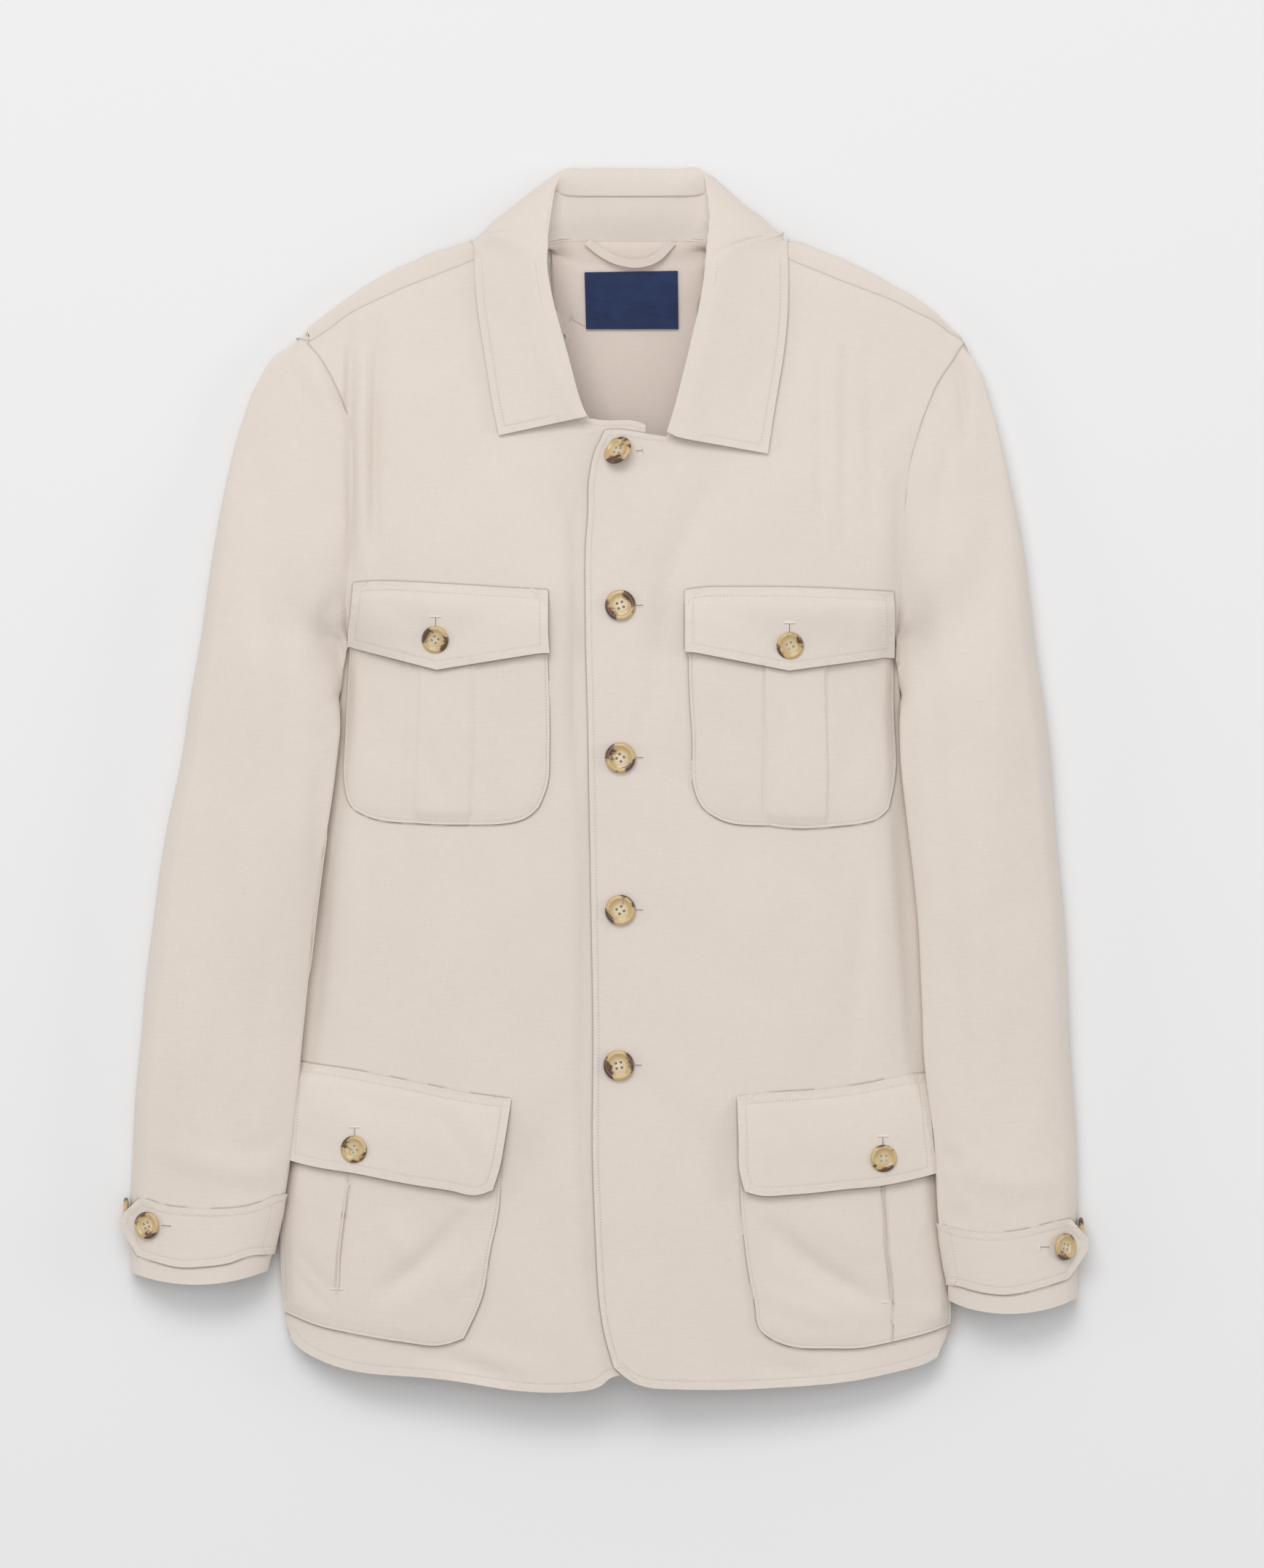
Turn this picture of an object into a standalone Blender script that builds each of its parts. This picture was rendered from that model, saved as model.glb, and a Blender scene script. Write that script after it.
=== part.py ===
"""Safari jacket lying on its back, buttoned and softly filled.

X runs to the viewer's right, Y towards the collar and Z up. Sizes are in millimetres.
Sides are the wearer's, so the right front and the right sleeve lie at negative X.
"""

import bmesh
import bpy
import math
import numpy as np
from mathutils import Vector
from mathutils.bvhtree import BVHTree

MM = 0.001
CENTRE_SHIFT = (-0.65, -0.95, 0.0)

# Cloth thicknesses and the gaps between pieces
PANEL_WALL = 1.2
PATCH_WALL = 1.2
COLLAR_WALL = 1.6
STAND_WALL = 1.2
LABEL_WALL = 1.0
SEAM_GAP = 0.4
SEAM_DROP = 1.7
BACK_SEAM_GAP = 1.1
SHOULDER_GAP = 0.7
ARMHOLE_GAP = 0.7
# Heights at the armpit: the back, the front and the sleeve pass over one another
ARMPIT_HEIGHTS = (11.5, 15.0, 22.0)
LAYER_GAP = 0.5

# Buttons
FRONT_BUTTON = 20.0
SMALL_BUTTON = 17.8
BUTTON_HEIGHT = 3.2
BUTTON_STEPS = 14
# Turned profile of a button (share of the radius, share of the height)
BUTTON_PROFILE = (
    (0, 0.62), (0.55, 0.7), (0.72, 1), (0.92, 0.9), (1, 0.55), (0.9, 0.12), (0.7, 0), (0, 0),
)

# How the filled form rounds away
CROWN_POWER = 2.6
CROWN_SIDE_POWER = 0.62
SHOULDER_REACH = 260.0
SHOULDER_POWER = 0.55
SHOULDER_TOP = 285.0
ARMPIT_Y = 85.0
BLEND_Y = (75.0, 150.0)
SLEEVE_REST = 9.0
SLEEVE_CLEAR = 4.2
FREE_FOLD = 15.0
UNDER_FOLD_REACH = 16.0
OVER_LIFT = 2.4

# Outline from the front: shoulder height (x, y) from one sleeve to the other
SHOULDER_LINE = (
    (-300, -120), (-282, -13), (-262, 101), (-250, 177), (-238, 229), (-224, 263), (-207, 286),
    (-195, 295), (-176, 310), (-157, 323), (-138, 333), (-109, 345), (-84, 348.5), (-60, 356),
    (-40, 364), (15, 370), (74, 364), (95, 356), (110, 351.5), (121, 350),
    (133, 348), (148, 344), (186, 326), (205, 316), (224, 300), (236, 286), (251, 252), (264, 206),
    (277, 139), (286, 63), (297, -51),
)

# Outer edges of the whole form (y, right x, left x), from the shoulder to the cuffs
OUTER_EDGES = (
    (-345, -310, 310), (-280, -310, 310), (-203, -306, 307), (-127, -299, 303), (-51, -289, 297),
    (25, -274, 291), (101, -262, 280), (177, -250, 270), (229, -238, 258), (263, -224, 247.5),
    (286, -207, 236),
)

# Side seams of the body (y, right x, left x)
BODY_SIDES = (
    (-400, -207, 226), (-358, -208, 226), (-340, -209, 228), (-289, -211, 226), (-228, -208, 223),
    (-166, -204, 219), (-90, -197, 213), (0, -183, 204), (30, -176, 198), (60, -171.5, 193.5),
    (85, -170, 192.5),
)

# Height of the side seam and of the crown (y, side, crown)
HEIGHTS = (
    (-400, 9, 38), (-250, 9.5, 43), (-100, 10.5, 47), (0, 12, 49), (85, 12.5, 50), (150, 12.2, 49),
    (240, 12, 45), (300, 12, 43), (375, 12, 41),
)

# Armhole seam on the front, from the shoulder seam to the armpit (x, y)
ARMHOLE_RIGHT = (
    (-194, 287), (-187, 279), (-181, 268), (-175, 258), (-169, 245), (-165, 225), (-164, 206),
    (-164, 177), (-166, 146), (-169, 120), (-169.5, 100), (-170, 84.5),
)
ARMHOLE_LEFT = (
    (235, 284), (228, 274), (219, 261), (211, 243), (205, 225), (200, 206), (197, 177),
    (196, 146), (195, 120), (193, 100), (192.5, 84.5),
)

# Armhole seam on the back, from the armpit to the shoulder's outline (x, y)
BACK_ARMHOLE_RIGHT = (
    (-170, 84.5), (-166, 100), (-162, 125), (-163, 160), (-167, 200), (-174, 235), (-184, 262),
    (-195, 280), (-203, 289),
)
BACK_ARMHOLE_LEFT = (
    (192.5, 84.5), (188.5, 100), (186, 125), (189, 160), (195, 200), (204, 235), (217, 260),
    (230, 277), (237.5, 284),
)

# Shoulder seam, from the neck to the armhole (x, y)
SHOULDER_SEAM_RIGHT = (
    (-40, 355), (-84, 341), (-110, 331), (-139, 320), (-152, 313), (-167, 306), (-176, 299),
    (-194, 287),
)
SHOULDER_SEAM_LEFT = (
    (74, 357), (120, 341), (143, 333), (165, 324), (187, 316), (205, 307), (225, 294), (235, 284),
)

# Inner fold of each sleeve, from the armpit to the cuff (x, y)
SLEEVE_INNER_RIGHT = (
    (-171.5, 84.5), (-173.2, 62), (-172.8, 52), (-171.5, 38), (-173, 20), (-177, -13), (-182, -43),
    (-188, -89), (-196, -166), (-202, -228), (-207, -266), (-212, -290), (-218, -308), (-219, -320),
)
SLEEVE_INNER_LEFT = (
    (194.2, 84.5), (195.2, 62), (194.4, 52), (193, 38), (193.5, 15), (195, -2), (200, -43), (204, -79),
    (207, -125), (210, -192), (216, -238), (218, -279), (220, -308), (225, -329), (227, -341),
)

# Outer edge of each sleeve, from the shoulder point to the cuff (x, y)
SLEEVE_OUTER_RIGHT = (
    (-203, 289), (-214, 279), (-224, 263), (-233, 244), (-244, 206), (-250, 177), (-257, 139),
    (-262, 101), (-269, 63), (-274, 25), (-282, -13), (-289, -51), (-294, -89), (-299, -127),
    (-302, -165), (-306, -203), (-308, -242), (-310, -280), (-310, -321),
)
SLEEVE_OUTER_LEFT = (
    (237.5, 284), (243, 273), (251, 252), (258, 229), (264, 206), (270, 177), (277, 139),
    (280, 101), (286, 63), (291, 25), (294, -13), (297, -51), (301, -89), (303, -127),
    (305, -165), (307, -203), (310, -242), (310, -280), (310, -338),
)

# Hem of each front, from the front edge to the side seam (x, y)
HEM_RIGHT = (
    (27, -386), (7, -388), (-9, -397), (-30, -401), (-60, -396), (-94, -392), (-128, -388),
    (-160, -386), (-181, -380), (-194, -374), (-203, -367), (-207, -359),
)
HEM_LEFT = (
    (7, -382), (13, -388), (25, -394), (39, -396), (68, -397), (101, -396), (139, -394),
    (177, -389), (198, -384), (215, -379), (223, -372), (225.5, -360),
)

# Front edge of the over front, from the hem to the neck (x, y)
OVER_EDGE = (
    (7, -382), (1, -372), (-1, -354), (-4, -310), (-7, -243), (-7, -156), (-9, -100), (-10, -54),
    (-12, 49), (-13, 96), (-13, 144), (-11, 177), (-10, 201), (-4, 212), (0, 228),
)
UNDER_EDGE_X = 27.0

# Neckline of each front, from the collar's end to the shoulder seam (x, y)
NECK_RIGHT = ((-9, 236), (-20, 248), (-25, 264), (-32, 291), (-36, 306), (-41, 332), (-40, 355))
NECK_LEFT = ((41, 226), (50, 242), (56, 264), (63, 290), (69, 318), (73, 343), (74, 357))
TOP_EDGE_RIGHT = ((27, 231), (25, 234), (8, 235.5), (-9, 236))
TOP_EDGE_LEFT = ((0, 228), (8, 231), (30, 228), (41, 226))

# Back neckline (x, y at the outline, rim height)
BACK_NECK = (
    (-40, 364, 19), (-36, 351, 15.5), (-30, 346, 11), (-20, 341, 7), (-5, 338, 5.2), (17, 338, 4.8),
    (39, 338, 5.2), (54, 341, 7), (64, 346, 11), (70, 351, 15.5), (74, 365, 18.6),
)
BACK_NECK_Y = 355.0

# Depth of the fold along each armhole (y, depth)
ARMHOLE_FOLD = ((40, 0), (60, 6), (85, 11), (100, 11), (146, 7), (206, 2.5), (245, 0.4), (290, 0))
ARMHOLE_FOLD_BODY = 6.0
ARMHOLE_FOLD_SLEEVE = 14.0

# Soft folds of the fronts (x, y at the top, x, y at the bottom, half width, depth)
FRONT_FOLDS = (
    (-150, 306, -151, 150, 5.0, 1.6),
    (198, 306, 199, 190, 6.0, 1.4),
    (160, 300, 158, 235, 7.0, 1.2),
)

# Levels of the rows at the side seam, from the hem to just under the armpit
SIDE_LEVELS = (-330, -285, -235, -185, -135, -85, -40, 0, 35, 62)

# Collar fall, one row a section from the back centre to each front point:
# roll x, y, z, passing x, y, z, edge x, y, z, rise above the front (0 or 1), share of back
FALL_CENTRE = (17, 400, 4.6, 17, 394, 0.3, 17, 351, 0.1, 0, 1.0)
FALL_RIGHT = (
    (-5, 400, 4.6, -5, 394, 0.3, -6, 351, 0.1, 0, 1.0),
    (-21, 400, 5.2, -23, 393, 0.6, -26, 351, 0.1, 0, 1.0),
    (-28, 396, 8, -37, 392.5, 2.5, -38, 350, 0.1, 0, 0.9),
    (-31, 390, 13, -49, 384.5, 5, -50, 349, 0.1, 0, 0.7),
    (-33, 382, 19, -61, 375.5, 7, -62, 347, 0.1, 0, 0.4),
    (-35, 370, 25, -73, 366, 9, -73, 344, 0.3, 0, 0.15),
    (-36.5, 360, 30, -83, 358.5, 11, -83, 346, 0.3, 0, 0.0),
    (-36.8, 352, 34, -79, 357.5, 21, -87, 356.5, 14.5, 0, 0.0),
    (-36.5, 343, 14, -50, 344, 15, -84.5, 344, 3.2, 1, 0.0),
    (-36, 330, 14, -46, 329, 15, -84, 330, 3, 1, 0.0),
    (-31, 306, 13, -41, 304, 14, -81.5, 303, 3, 1, 0.0),
    (-23, 278, 11, -33, 276, 12, -77, 276, 3, 1, 0.0),
    (-16, 251, 9, -26, 249, 10, -73, 249, 3, 1, 0.0),
    (-10, 237, 7, -20, 235, 7.4, -68, 225, 3, 1, 0.0),
)
FALL_LEFT = (
    (39, 400, 4.6, 39, 394, 0.3, 40, 351, 0.1, 0, 1.0),
    (58, 400, 5.2, 60, 393, 0.6, 61, 351, 0.1, 0, 1.0),
    (64.5, 396, 8, 75, 392, 2.5, 75, 350, 0.1, 0, 0.9),
    (66.5, 390, 13, 86, 383, 5, 87, 349, 0.1, 0, 0.7),
    (68, 382, 19, 97, 374.5, 7, 98, 347.5, 0.1, 0, 0.4),
    (69.5, 370, 25, 108, 366, 9, 108, 345.5, 0.3, 0, 0.15),
    (69, 360, 30, 116.5, 361, 12, 117, 344, 0.8, 0, 0.0),
    (68, 352, 34, 113, 359, 21, 121, 357.5, 14.5, 0, 0.0),
    (67, 344, 14, 80, 345, 15, 120.5, 346, 3.2, 1, 0.0),
    (65.5, 330, 14, 75.5, 329, 15, 120.5, 330, 3, 1, 0.0),
    (62, 308, 13, 72, 306, 14, 120, 304, 3, 1, 0.0),
    (55, 279, 11, 65, 277, 12, 117, 275, 3, 1, 0.0),
    (49, 254, 9, 59, 251, 10, 112, 246, 3, 1, 0.0),
    (41, 227, 7, 50, 223, 7.4, 107, 213, 3, 1, 0.0),
)

# Where the stand leaves the neckline, one row for each section of the fall (x, y, height)
STAND_CENTRE = (17, 355.8, 6.4)
STAND_RIGHT = (
    (-5, 355.8, 6.8), (-19, 355.8, 8.9), (-27, 355.8, 11.6), (-32, 355.9, 15.5), (-36, 356, 19.5),
    (-38.6, 356, 22.5), (-39.4, 354.5, 24), (-39.8, 350.5, 24.8), (-40.4, 342, 25), (-40.6, 330, 28),
    (-35.6, 306, 32.5), (-28, 278, 36), (-20.4, 251, 38.4),
)
STAND_LEFT = (
    (39, 355.8, 6.8), (53, 355.8, 8.9), (61, 355.8, 11.6), (66, 355.9, 15.5), (70, 356.4, 19.5),
    (72.4, 357.2, 22.5), (73.2, 356.2, 24), (73.4, 352, 24.8), (72.8, 343, 25), (71.2, 330, 28),
    (66.6, 307, 32.5), (60.3, 280, 36), (53.2, 254, 38.4),
)
# Seam between the stand and the fall at the back (y, height)
SEAM_LINE = (382.5, 8.8)

# Pocket bags and flaps as four edges in plan: top, bottom, and the sides from top to bottom
CHEST_BAG_RIGHT = {
    "top": ((-164, 118), (-102, 118), (-37, 114)),
    "bottom": ((-166, -14), (-155, -23), (-128, -27), (-98, -28.5), (-67, -28), (-52, -25), (-42, -17)),
    "start": ((-164, 118), (-166, 83), (-168.5, 34), (-169.5, -2), (-166, -14)),
    "end": ((-37, 114), (-36, 72), (-35, 34), (-37, -7), (-42, -17)),
}
CHEST_BAG_LEFT = {
    "top": ((55, 115), (120, 118), (189, 114)),
    "bottom": ((63, -15), (79, -27), (107, -29), (126, -31), (161, -28.5), (174, -27), (186, -18)),
    "start": ((55, 115), (56, 60), (58, 21), (58, -2), (63, -15)),
    "end": ((189, 114), (189.5, 80), (189.5, 47), (191, 10), (186, -18)),
}
HIP_BAG_RIGHT = {
    "top": ((-198, -218), (-130, -232), (-66, -243)),
    "bottom": ((-205.5, -347), (-184, -356), (-160, -361), (-129, -366), (-107, -368), (-91, -363)),
    "start": ((-198, -218), (-202.5, -260), (-205.5, -300), (-205.5, -347)),
    "end": ((-66, -243), (-69, -284), (-74, -307), (-79, -336), (-91, -363)),
}
HIP_BAG_LEFT = {
    "top": ((89, -240), (150, -236), (212, -228)),
    "bottom": (
        (102.5, -358), (111, -366), (133, -369), (165, -370),
        (188, -367), (204, -363), (222.5, -355),
    ),
    "start": ((89, -240), (89, -263), (91, -292), (95, -323), (102.5, -358)),
    "end": ((212, -228), (216, -270), (218.5, -300), (222.5, -330), (222.5, -355)),
}
CHEST_FLAP_RIGHT = {
    "top": ((-163, 129), (-147, 130), (-102, 128), (-70, 126), (-36, 124)),
    "bottom": ((-167, 88), (-147, 84), (-128, 78), (-109, 72), (-89, 75), (-70, 79), (-35, 83)),
    "start": ((-163, 129), (-165, 107), (-167, 94), (-167, 88)),
    "end": ((-36, 124), (-36, 98), (-35, 83)),
}
CHEST_FLAP_LEFT = {
    "top": ((53, 124), (72, 126), (110, 126), (149, 125), (189, 123)),
    "bottom": ((53, 84), (72, 81), (91, 79), (105, 75), (120, 72), (142, 75), (161, 77), (190, 80)),
    "start": ((53, 124), (53, 98), (53, 84)),
    "end": ((189, 123), (190, 109), (190, 94), (190, 80)),
}
HIP_FLAP_RIGHT = {
    "top": ((-195, -183), (-171, -187), (-129, -195), (-89, -203), (-60, -207)),
    "bottom": (
        (-202, -247), (-184, -252), (-160, -256), (-129, -262),
        (-97, -267), (-80, -270), (-72, -266),
    ),
    "start": ((-195, -183), (-198.5, -215), (-202, -247)),
    "end": ((-60, -207), (-64, -233), (-68, -254), (-72, -266)),
}
HIP_FLAP_LEFT = {
    "top": ((87, -205), (109, -203), (141, -201), (173, -197), (197, -192), (207.5, -191)),
    "bottom": ((92, -267), (100, -270), (126, -269), (157, -266), (188, -263), (204, -259), (215, -256)),
    "start": ((87, -205), (88, -236), (89, -260), (92, -267)),
    "end": ((207.5, -191), (212, -225), (215, -256)),
}

# Pleats: shares of the bag's width where a box pleat starts and ends or an inverted one meets
CHEST_PLEAT_RIGHT = (0.36, 0.63)
CHEST_PLEAT_LEFT = (0.37, 0.66)
HIP_PLEAT_RIGHT = 0.27
HIP_PLEAT_LEFT = 0.75
PLEAT_RELIEF = 1.2
BAG_PUFF = 1.4

# Cuff tabs: upper and lower edge (x, y), from the pointed end to the inner fold
TAB_RIGHT = {
    "top": (
        (-312, -281), (-299, -272), (-283, -277), (-263, -279),
        (-239, -279), (-224, -277), (-206.5, -270),
    ),
    "bottom": (
        (-312, -294), (-303, -309), (-291, -313), (-271, -317),
        (-251, -317), (-232, -314), (-218, -309),
    ),
}
TAB_LEFT = {
    "top": ((314, -296), (304, -286), (292, -288), (276, -292), (257, -295), (237, -294), (216, -289)),
    "bottom": (
        (314, -308), (302, -325), (288, -329), (268, -334),
        (252, -335), (237, -333), (223, -329),
    ),
}
# Tip of each tab (x, upper y, lower y, height)
TAB_TIPS = {-1: (-315.5, -284, -291, 21.0), 1: (316.8, -299, -306, 21.0)}
TAB_UNDER_POINTS = 1

# Hanger loop, from end to end (x, y, height above the back)
LOOP_PATH = (
    (-11, 353.6, 0.6), (-3, 347, 2.2), (8, 341, 3.6), (21, 338.5, 4.2), (34, 342, 3.6),
    (45, 353, 0.6),
)
LOOP_WIDTH = 5.6
LABEL_CORNERS = ((-12.5, 333), (48.5, 334), (49, 296), (-11.5, 296))

# Buttons (name, x, y, diameter, what it sits on)
BUTTON_SEATS = (
    ("front_button_1", 10, 214, FRONT_BUTTON, "front_left"),
    ("front_button_2", 11, 114, FRONT_BUTTON, "front_left"),
    ("front_button_3", 11, 15, FRONT_BUTTON, "front_left"),
    ("front_button_4", 11, -84, FRONT_BUTTON, "front_left"),
    ("front_button_5", 10, -185, FRONT_BUTTON, "front_left"),
    ("chest_button_right", -109, 92, SMALL_BUTTON, "chest_flap_right"),
    ("chest_button_left", 121, 88, SMALL_BUTTON, "chest_flap_left"),
    ("hip_button_right", -162, -240, SMALL_BUTTON, "hip_flap_right"),
    ("hip_button_left", 182, -246, SMALL_BUTTON, "hip_flap_left"),
    ("cuff_button_right", -297, -290, SMALL_BUTTON, "cuff_tab_right"),
    ("cuff_button_left", 300, -304, SMALL_BUTTON, "cuff_tab_left"),
)
# Buttons on the far edge of each sleeve (name, side, y)
SPARE_BUTTON_SEATS = (
    ("spare_button_right", -1, -281.5),
    ("spare_button_left", 1, -294.5),
)
SPARE_BUTTON_Z = 9.6

# Finish: colour, roughness
LINEN = (0.72, 0.64, 0.56)
INSIDE_LINEN = (0.66, 0.57, 0.50)
HORN = (0.53, 0.36, 0.15)
NAVY_SATIN = (0.012, 0.025, 0.085)


# How each sheet is divided
FRONT_SHARES = np.array([0, 0.07, 0.16, 0.27, 0.39, 0.52, 0.64, 0.75, 0.84, 0.92, 1])
BACK_SHARES = np.array([0, 0.1, 0.22, 0.36, 0.5, 0.64, 0.78, 0.9, 0.97, 1])
SHOULDER_COLUMNS = 8
SHOULDER_SPREAD = 1.6
FRONT_SPREAD = 1.7
HEM_SPREAD = 1.35
SHOULDER_ROLL_ROWS = (0.4, 1.0)
NECK_COLUMNS = (-36, -30, -20, -5, 17, 39, 54, 64, 70)
PLACKET_COLUMNS = 3
NECK_ROW = 4
RING_FRONT_SHARES = np.array([0, 0.06, 0.16, 0.3, 0.44, 0.57, 0.69, 0.8, 0.89, 0.96, 1])
RING_BACK_SHARES = np.array([1, 0.965, 0.9, 0.8, 0.62, 0.42, 0.22, 0.1, 0.03, 0])
RING_START = 0.07
SLEEVE_RINGS = 17
RING_SPREAD = 1.05
BAG_ROWS = 8
FLAP_ROWS = 4
FLAP_COLUMNS = 10
LOOP_COLUMNS = 12
LABEL_ROWS = 6
LABEL_COLUMNS = 4
TAB_ROWS = (0.0, 0.25, 0.5, 0.75, 1.0)

# Sleeve form: height of its crown along its length (share, height) and the cuff's bow
SLEEVE_HEIGHTS = ((0, 40), (0.3, 41), (0.6, 39), (0.85, 35), (1, 33))
CUFF_DIP = 8.0
BACK_HEM_RISE = 7.0
BACK_NECK_LIFT = 3.4
PLEAT_EDGE = 0.012
INVERTED_EDGE = 0.018
INVERTED_DEPTH = 0.9
PATCH_REST = 0.3
PATCH_CLEAR = LAYER_GAP + PATCH_WALL
TAB_LIFT = PATCH_CLEAR + 0.1
BUTTON_SHANK = 0.4
SEAM_UNDER_ROLL = 2.6
LEAST_SEAM_DROP = 5.0
BACK_SEAM_DROP = 7.0
ROLL_RISE = 2.3

# How a sheet is tried against what it lies on
SETTLE_STEPS = (0.0, 0.25, 0.5, 0.75, 1.0)
SETTLE_ROUNDS = 5


def eased(start, end, at):
    share = np.clip((np.asarray(at, float) - start) / (end - start), 0, 1)
    return share * share * (3 - 2 * share)


def through(knots, values, at):
    """Smooth curve through values at rising knots, which never overshoots them."""
    knots = np.asarray(knots, float)
    values = np.asarray(values, float)
    step = np.diff(knots)
    rise = np.diff(values) / step
    before, after = rise[:-1], rise[1:]
    mean = (before * step[1:] + after * step[:-1]) / (step[1:] + step[:-1])
    limit = 3 * np.minimum(abs(before), abs(after))
    middle = np.where(before * after > 0, np.clip(mean, -limit, limit), 0)
    slope = np.concatenate([rise[:1], middle, rise[-1:]])
    at = np.clip(at, knots[0], knots[-1])
    i = np.clip(np.searchsorted(knots, at, side="right") - 1, 0, len(step) - 1)
    t = (at - knots[i]) / step[i]
    start = (1 + 2 * t) * (1 - t) ** 2 * values[i] + t * (1 - t) ** 2 * step[i] * slope[i]
    end = t * t * (3 - 2 * t) * values[i + 1] - t * t * (1 - t) * step[i] * slope[i + 1]
    return start + end


def column(rows, place):
    return np.array([row[place] for row in rows], float)


def read(rows, at, place):
    return through(column(rows, 0), column(rows, place), at)


def track(points, at):
    """Points at shares of the length of a smooth curve through the given ones."""
    points = np.asarray(points, float)
    length = np.concatenate([[0], np.cumsum(np.linalg.norm(np.diff(points, axis=0), axis=1))])
    share = length / length[-1]
    return np.stack([through(share, points[:, i], at) for i in range(points.shape[1])], axis=-1)


def envelope_sides(y):
    """Edges of the filled form: the body under the armpits, body and sleeves above them."""
    y = np.minimum(y, SHOULDER_TOP)
    share = eased(*BLEND_Y, y)
    edges = []
    for place in (1, 2):
        body = read(BODY_SIDES, y, place)
        edges.append(body + (read(OUTER_EDGES, y, place) - body) * share)
    return edges


def fold_depth(x, y):
    """How far the folds sink into the upper surface."""
    depth = np.zeros(np.broadcast(x, y).shape)
    for armhole, outwards in ((ARMHOLE_RIGHT, -1), (ARMHOLE_LEFT, 1)):
        rising = armhole[::-1]
        seam = through(column(rising, 1), column(rising, 0), y)
        away = (x - seam) * outwards
        width = np.where(away > 0, ARMHOLE_FOLD_SLEEVE, ARMHOLE_FOLD_BODY)
        depth = depth + read(ARMHOLE_FOLD, y, 1) * np.exp(-((away / width) ** 2))
    for top_x, top_y, low_x, low_y, width, deep in FRONT_FOLDS:
        share = (top_y - y) / (top_y - low_y)
        along = np.sin(math.pi * np.clip(share, 0, 1)) ** 0.7
        away = x - (top_x + (low_x - top_x) * share)
        depth = depth + deep * along * np.exp(-((away / width) ** 2))
    return depth


def top_height(x, y):
    """Height of the outside of the cloth on the upper side."""
    x = np.asarray(x, float)
    y = np.asarray(y, float)
    right, left = envelope_sides(y)
    across = np.clip(abs(x - (left + right) / 2) / ((left - right) / 2), 0, 1)
    across = (1 - across**CROWN_POWER) ** CROWN_SIDE_POWER
    along = np.clip((read(SHOULDER_LINE, x, 1) - y) / SHOULDER_REACH, 0, 1)
    along = (1 - (1 - along) ** 2) ** SHOULDER_POWER
    side = read(HEIGHTS, y, 1)
    crown = side + (read(HEIGHTS, y, 2) - side) * across * along
    return crown - fold_depth(x, y) * across**0.5


def rounding(away, radius):
    """0 at the edge of a form and 1 once past its rounded edge."""
    return np.sqrt(1 - (1 - np.clip(away / radius, 0, 1)) ** 2)


def under_height(x, y):
    """Height of the outside of the cloth on the side that lies down."""
    right, left = envelope_sides(y)
    side = read(HEIGHTS, y, 1)
    across = rounding(np.minimum(x - right, left - x), side)
    along = rounding(read(SHOULDER_LINE, x, 1) - y, side)
    lift = BACK_NECK_LIFT * eased(300, 332, y) * eased(-125, -92, x) * eased(156, 126, x)
    return side + (lift - side) * across * along


def over_lift(x):
    """The over front rises where it covers the other front."""
    return OVER_LIFT * eased(62, 34, x)


def seat_height(x, y):
    """Height of the outside of the fronts under pockets and collar."""
    return top_height(x, y) + np.where(np.asarray(x) > -14, over_lift(x), 0)


def joined(bottom, top, start, end):
    """Sheet between four edges, each an array of points, blended inwards."""
    across = fractions_of(bottom, top)
    up = fractions_of(start, end)[:, None]
    bottom, top, start, end = (np.asarray(edge, float) for edge in (bottom, top, start, end))
    across = across[None, :]
    corner = (
        bottom[0] * ((1 - across) * (1 - up))[..., None]
        + bottom[-1] * (across * (1 - up))[..., None]
        + top[0] * ((1 - across) * up)[..., None]
        + top[-1] * (across * up)[..., None]
    )
    rows = bottom[None] * (1 - up)[..., None] + top[None] * up[..., None]
    columns = start[:, None] * (1 - across)[..., None] + end[:, None] * across[..., None]
    return rows + columns - corner


def fractions_of(one, other):
    """Share of the way along two facing edges at each of their points."""
    shares = []
    for edge in (one, other):
        edge = np.asarray(edge, float)
        length = np.concatenate([[0], np.cumsum(np.linalg.norm(np.diff(edge, axis=0), axis=1))])
        shares.append(length / length[-1])
    return (shares[0] + shares[1]) / 2


def closer_to_end(count, power):
    return 1 - (1 - np.linspace(0, 1, count + 1)) ** power


def lifted(plan, height):
    return np.concatenate([plan, height(plan[..., 0], plan[..., 1])[..., None]], axis=-1)


def material(name, colour, roughness):
    made = bpy.data.materials.new(name)
    made.use_nodes = True
    shader = made.node_tree.nodes["Principled BSDF"]
    shader.inputs["Base Color"].default_value = (*colour, 1)
    shader.inputs["Roughness"].default_value = roughness
    shader.inputs["Metallic"].default_value = 0.0
    return made


def faces_of(grid, closed=False):
    """Quads of a grid of points by their numbers. Missing points have the number -1."""
    rows, columns = grid.shape
    quads = []
    for i in range(rows - 1):
        for j in range(columns if closed else columns - 1):
            k = (j + 1) % columns
            quad = (grid[i, j], grid[i, k], grid[i + 1, k], grid[i + 1, j])
            if min(quad) >= 0:
                quads.append(quad)
    return quads


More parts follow.
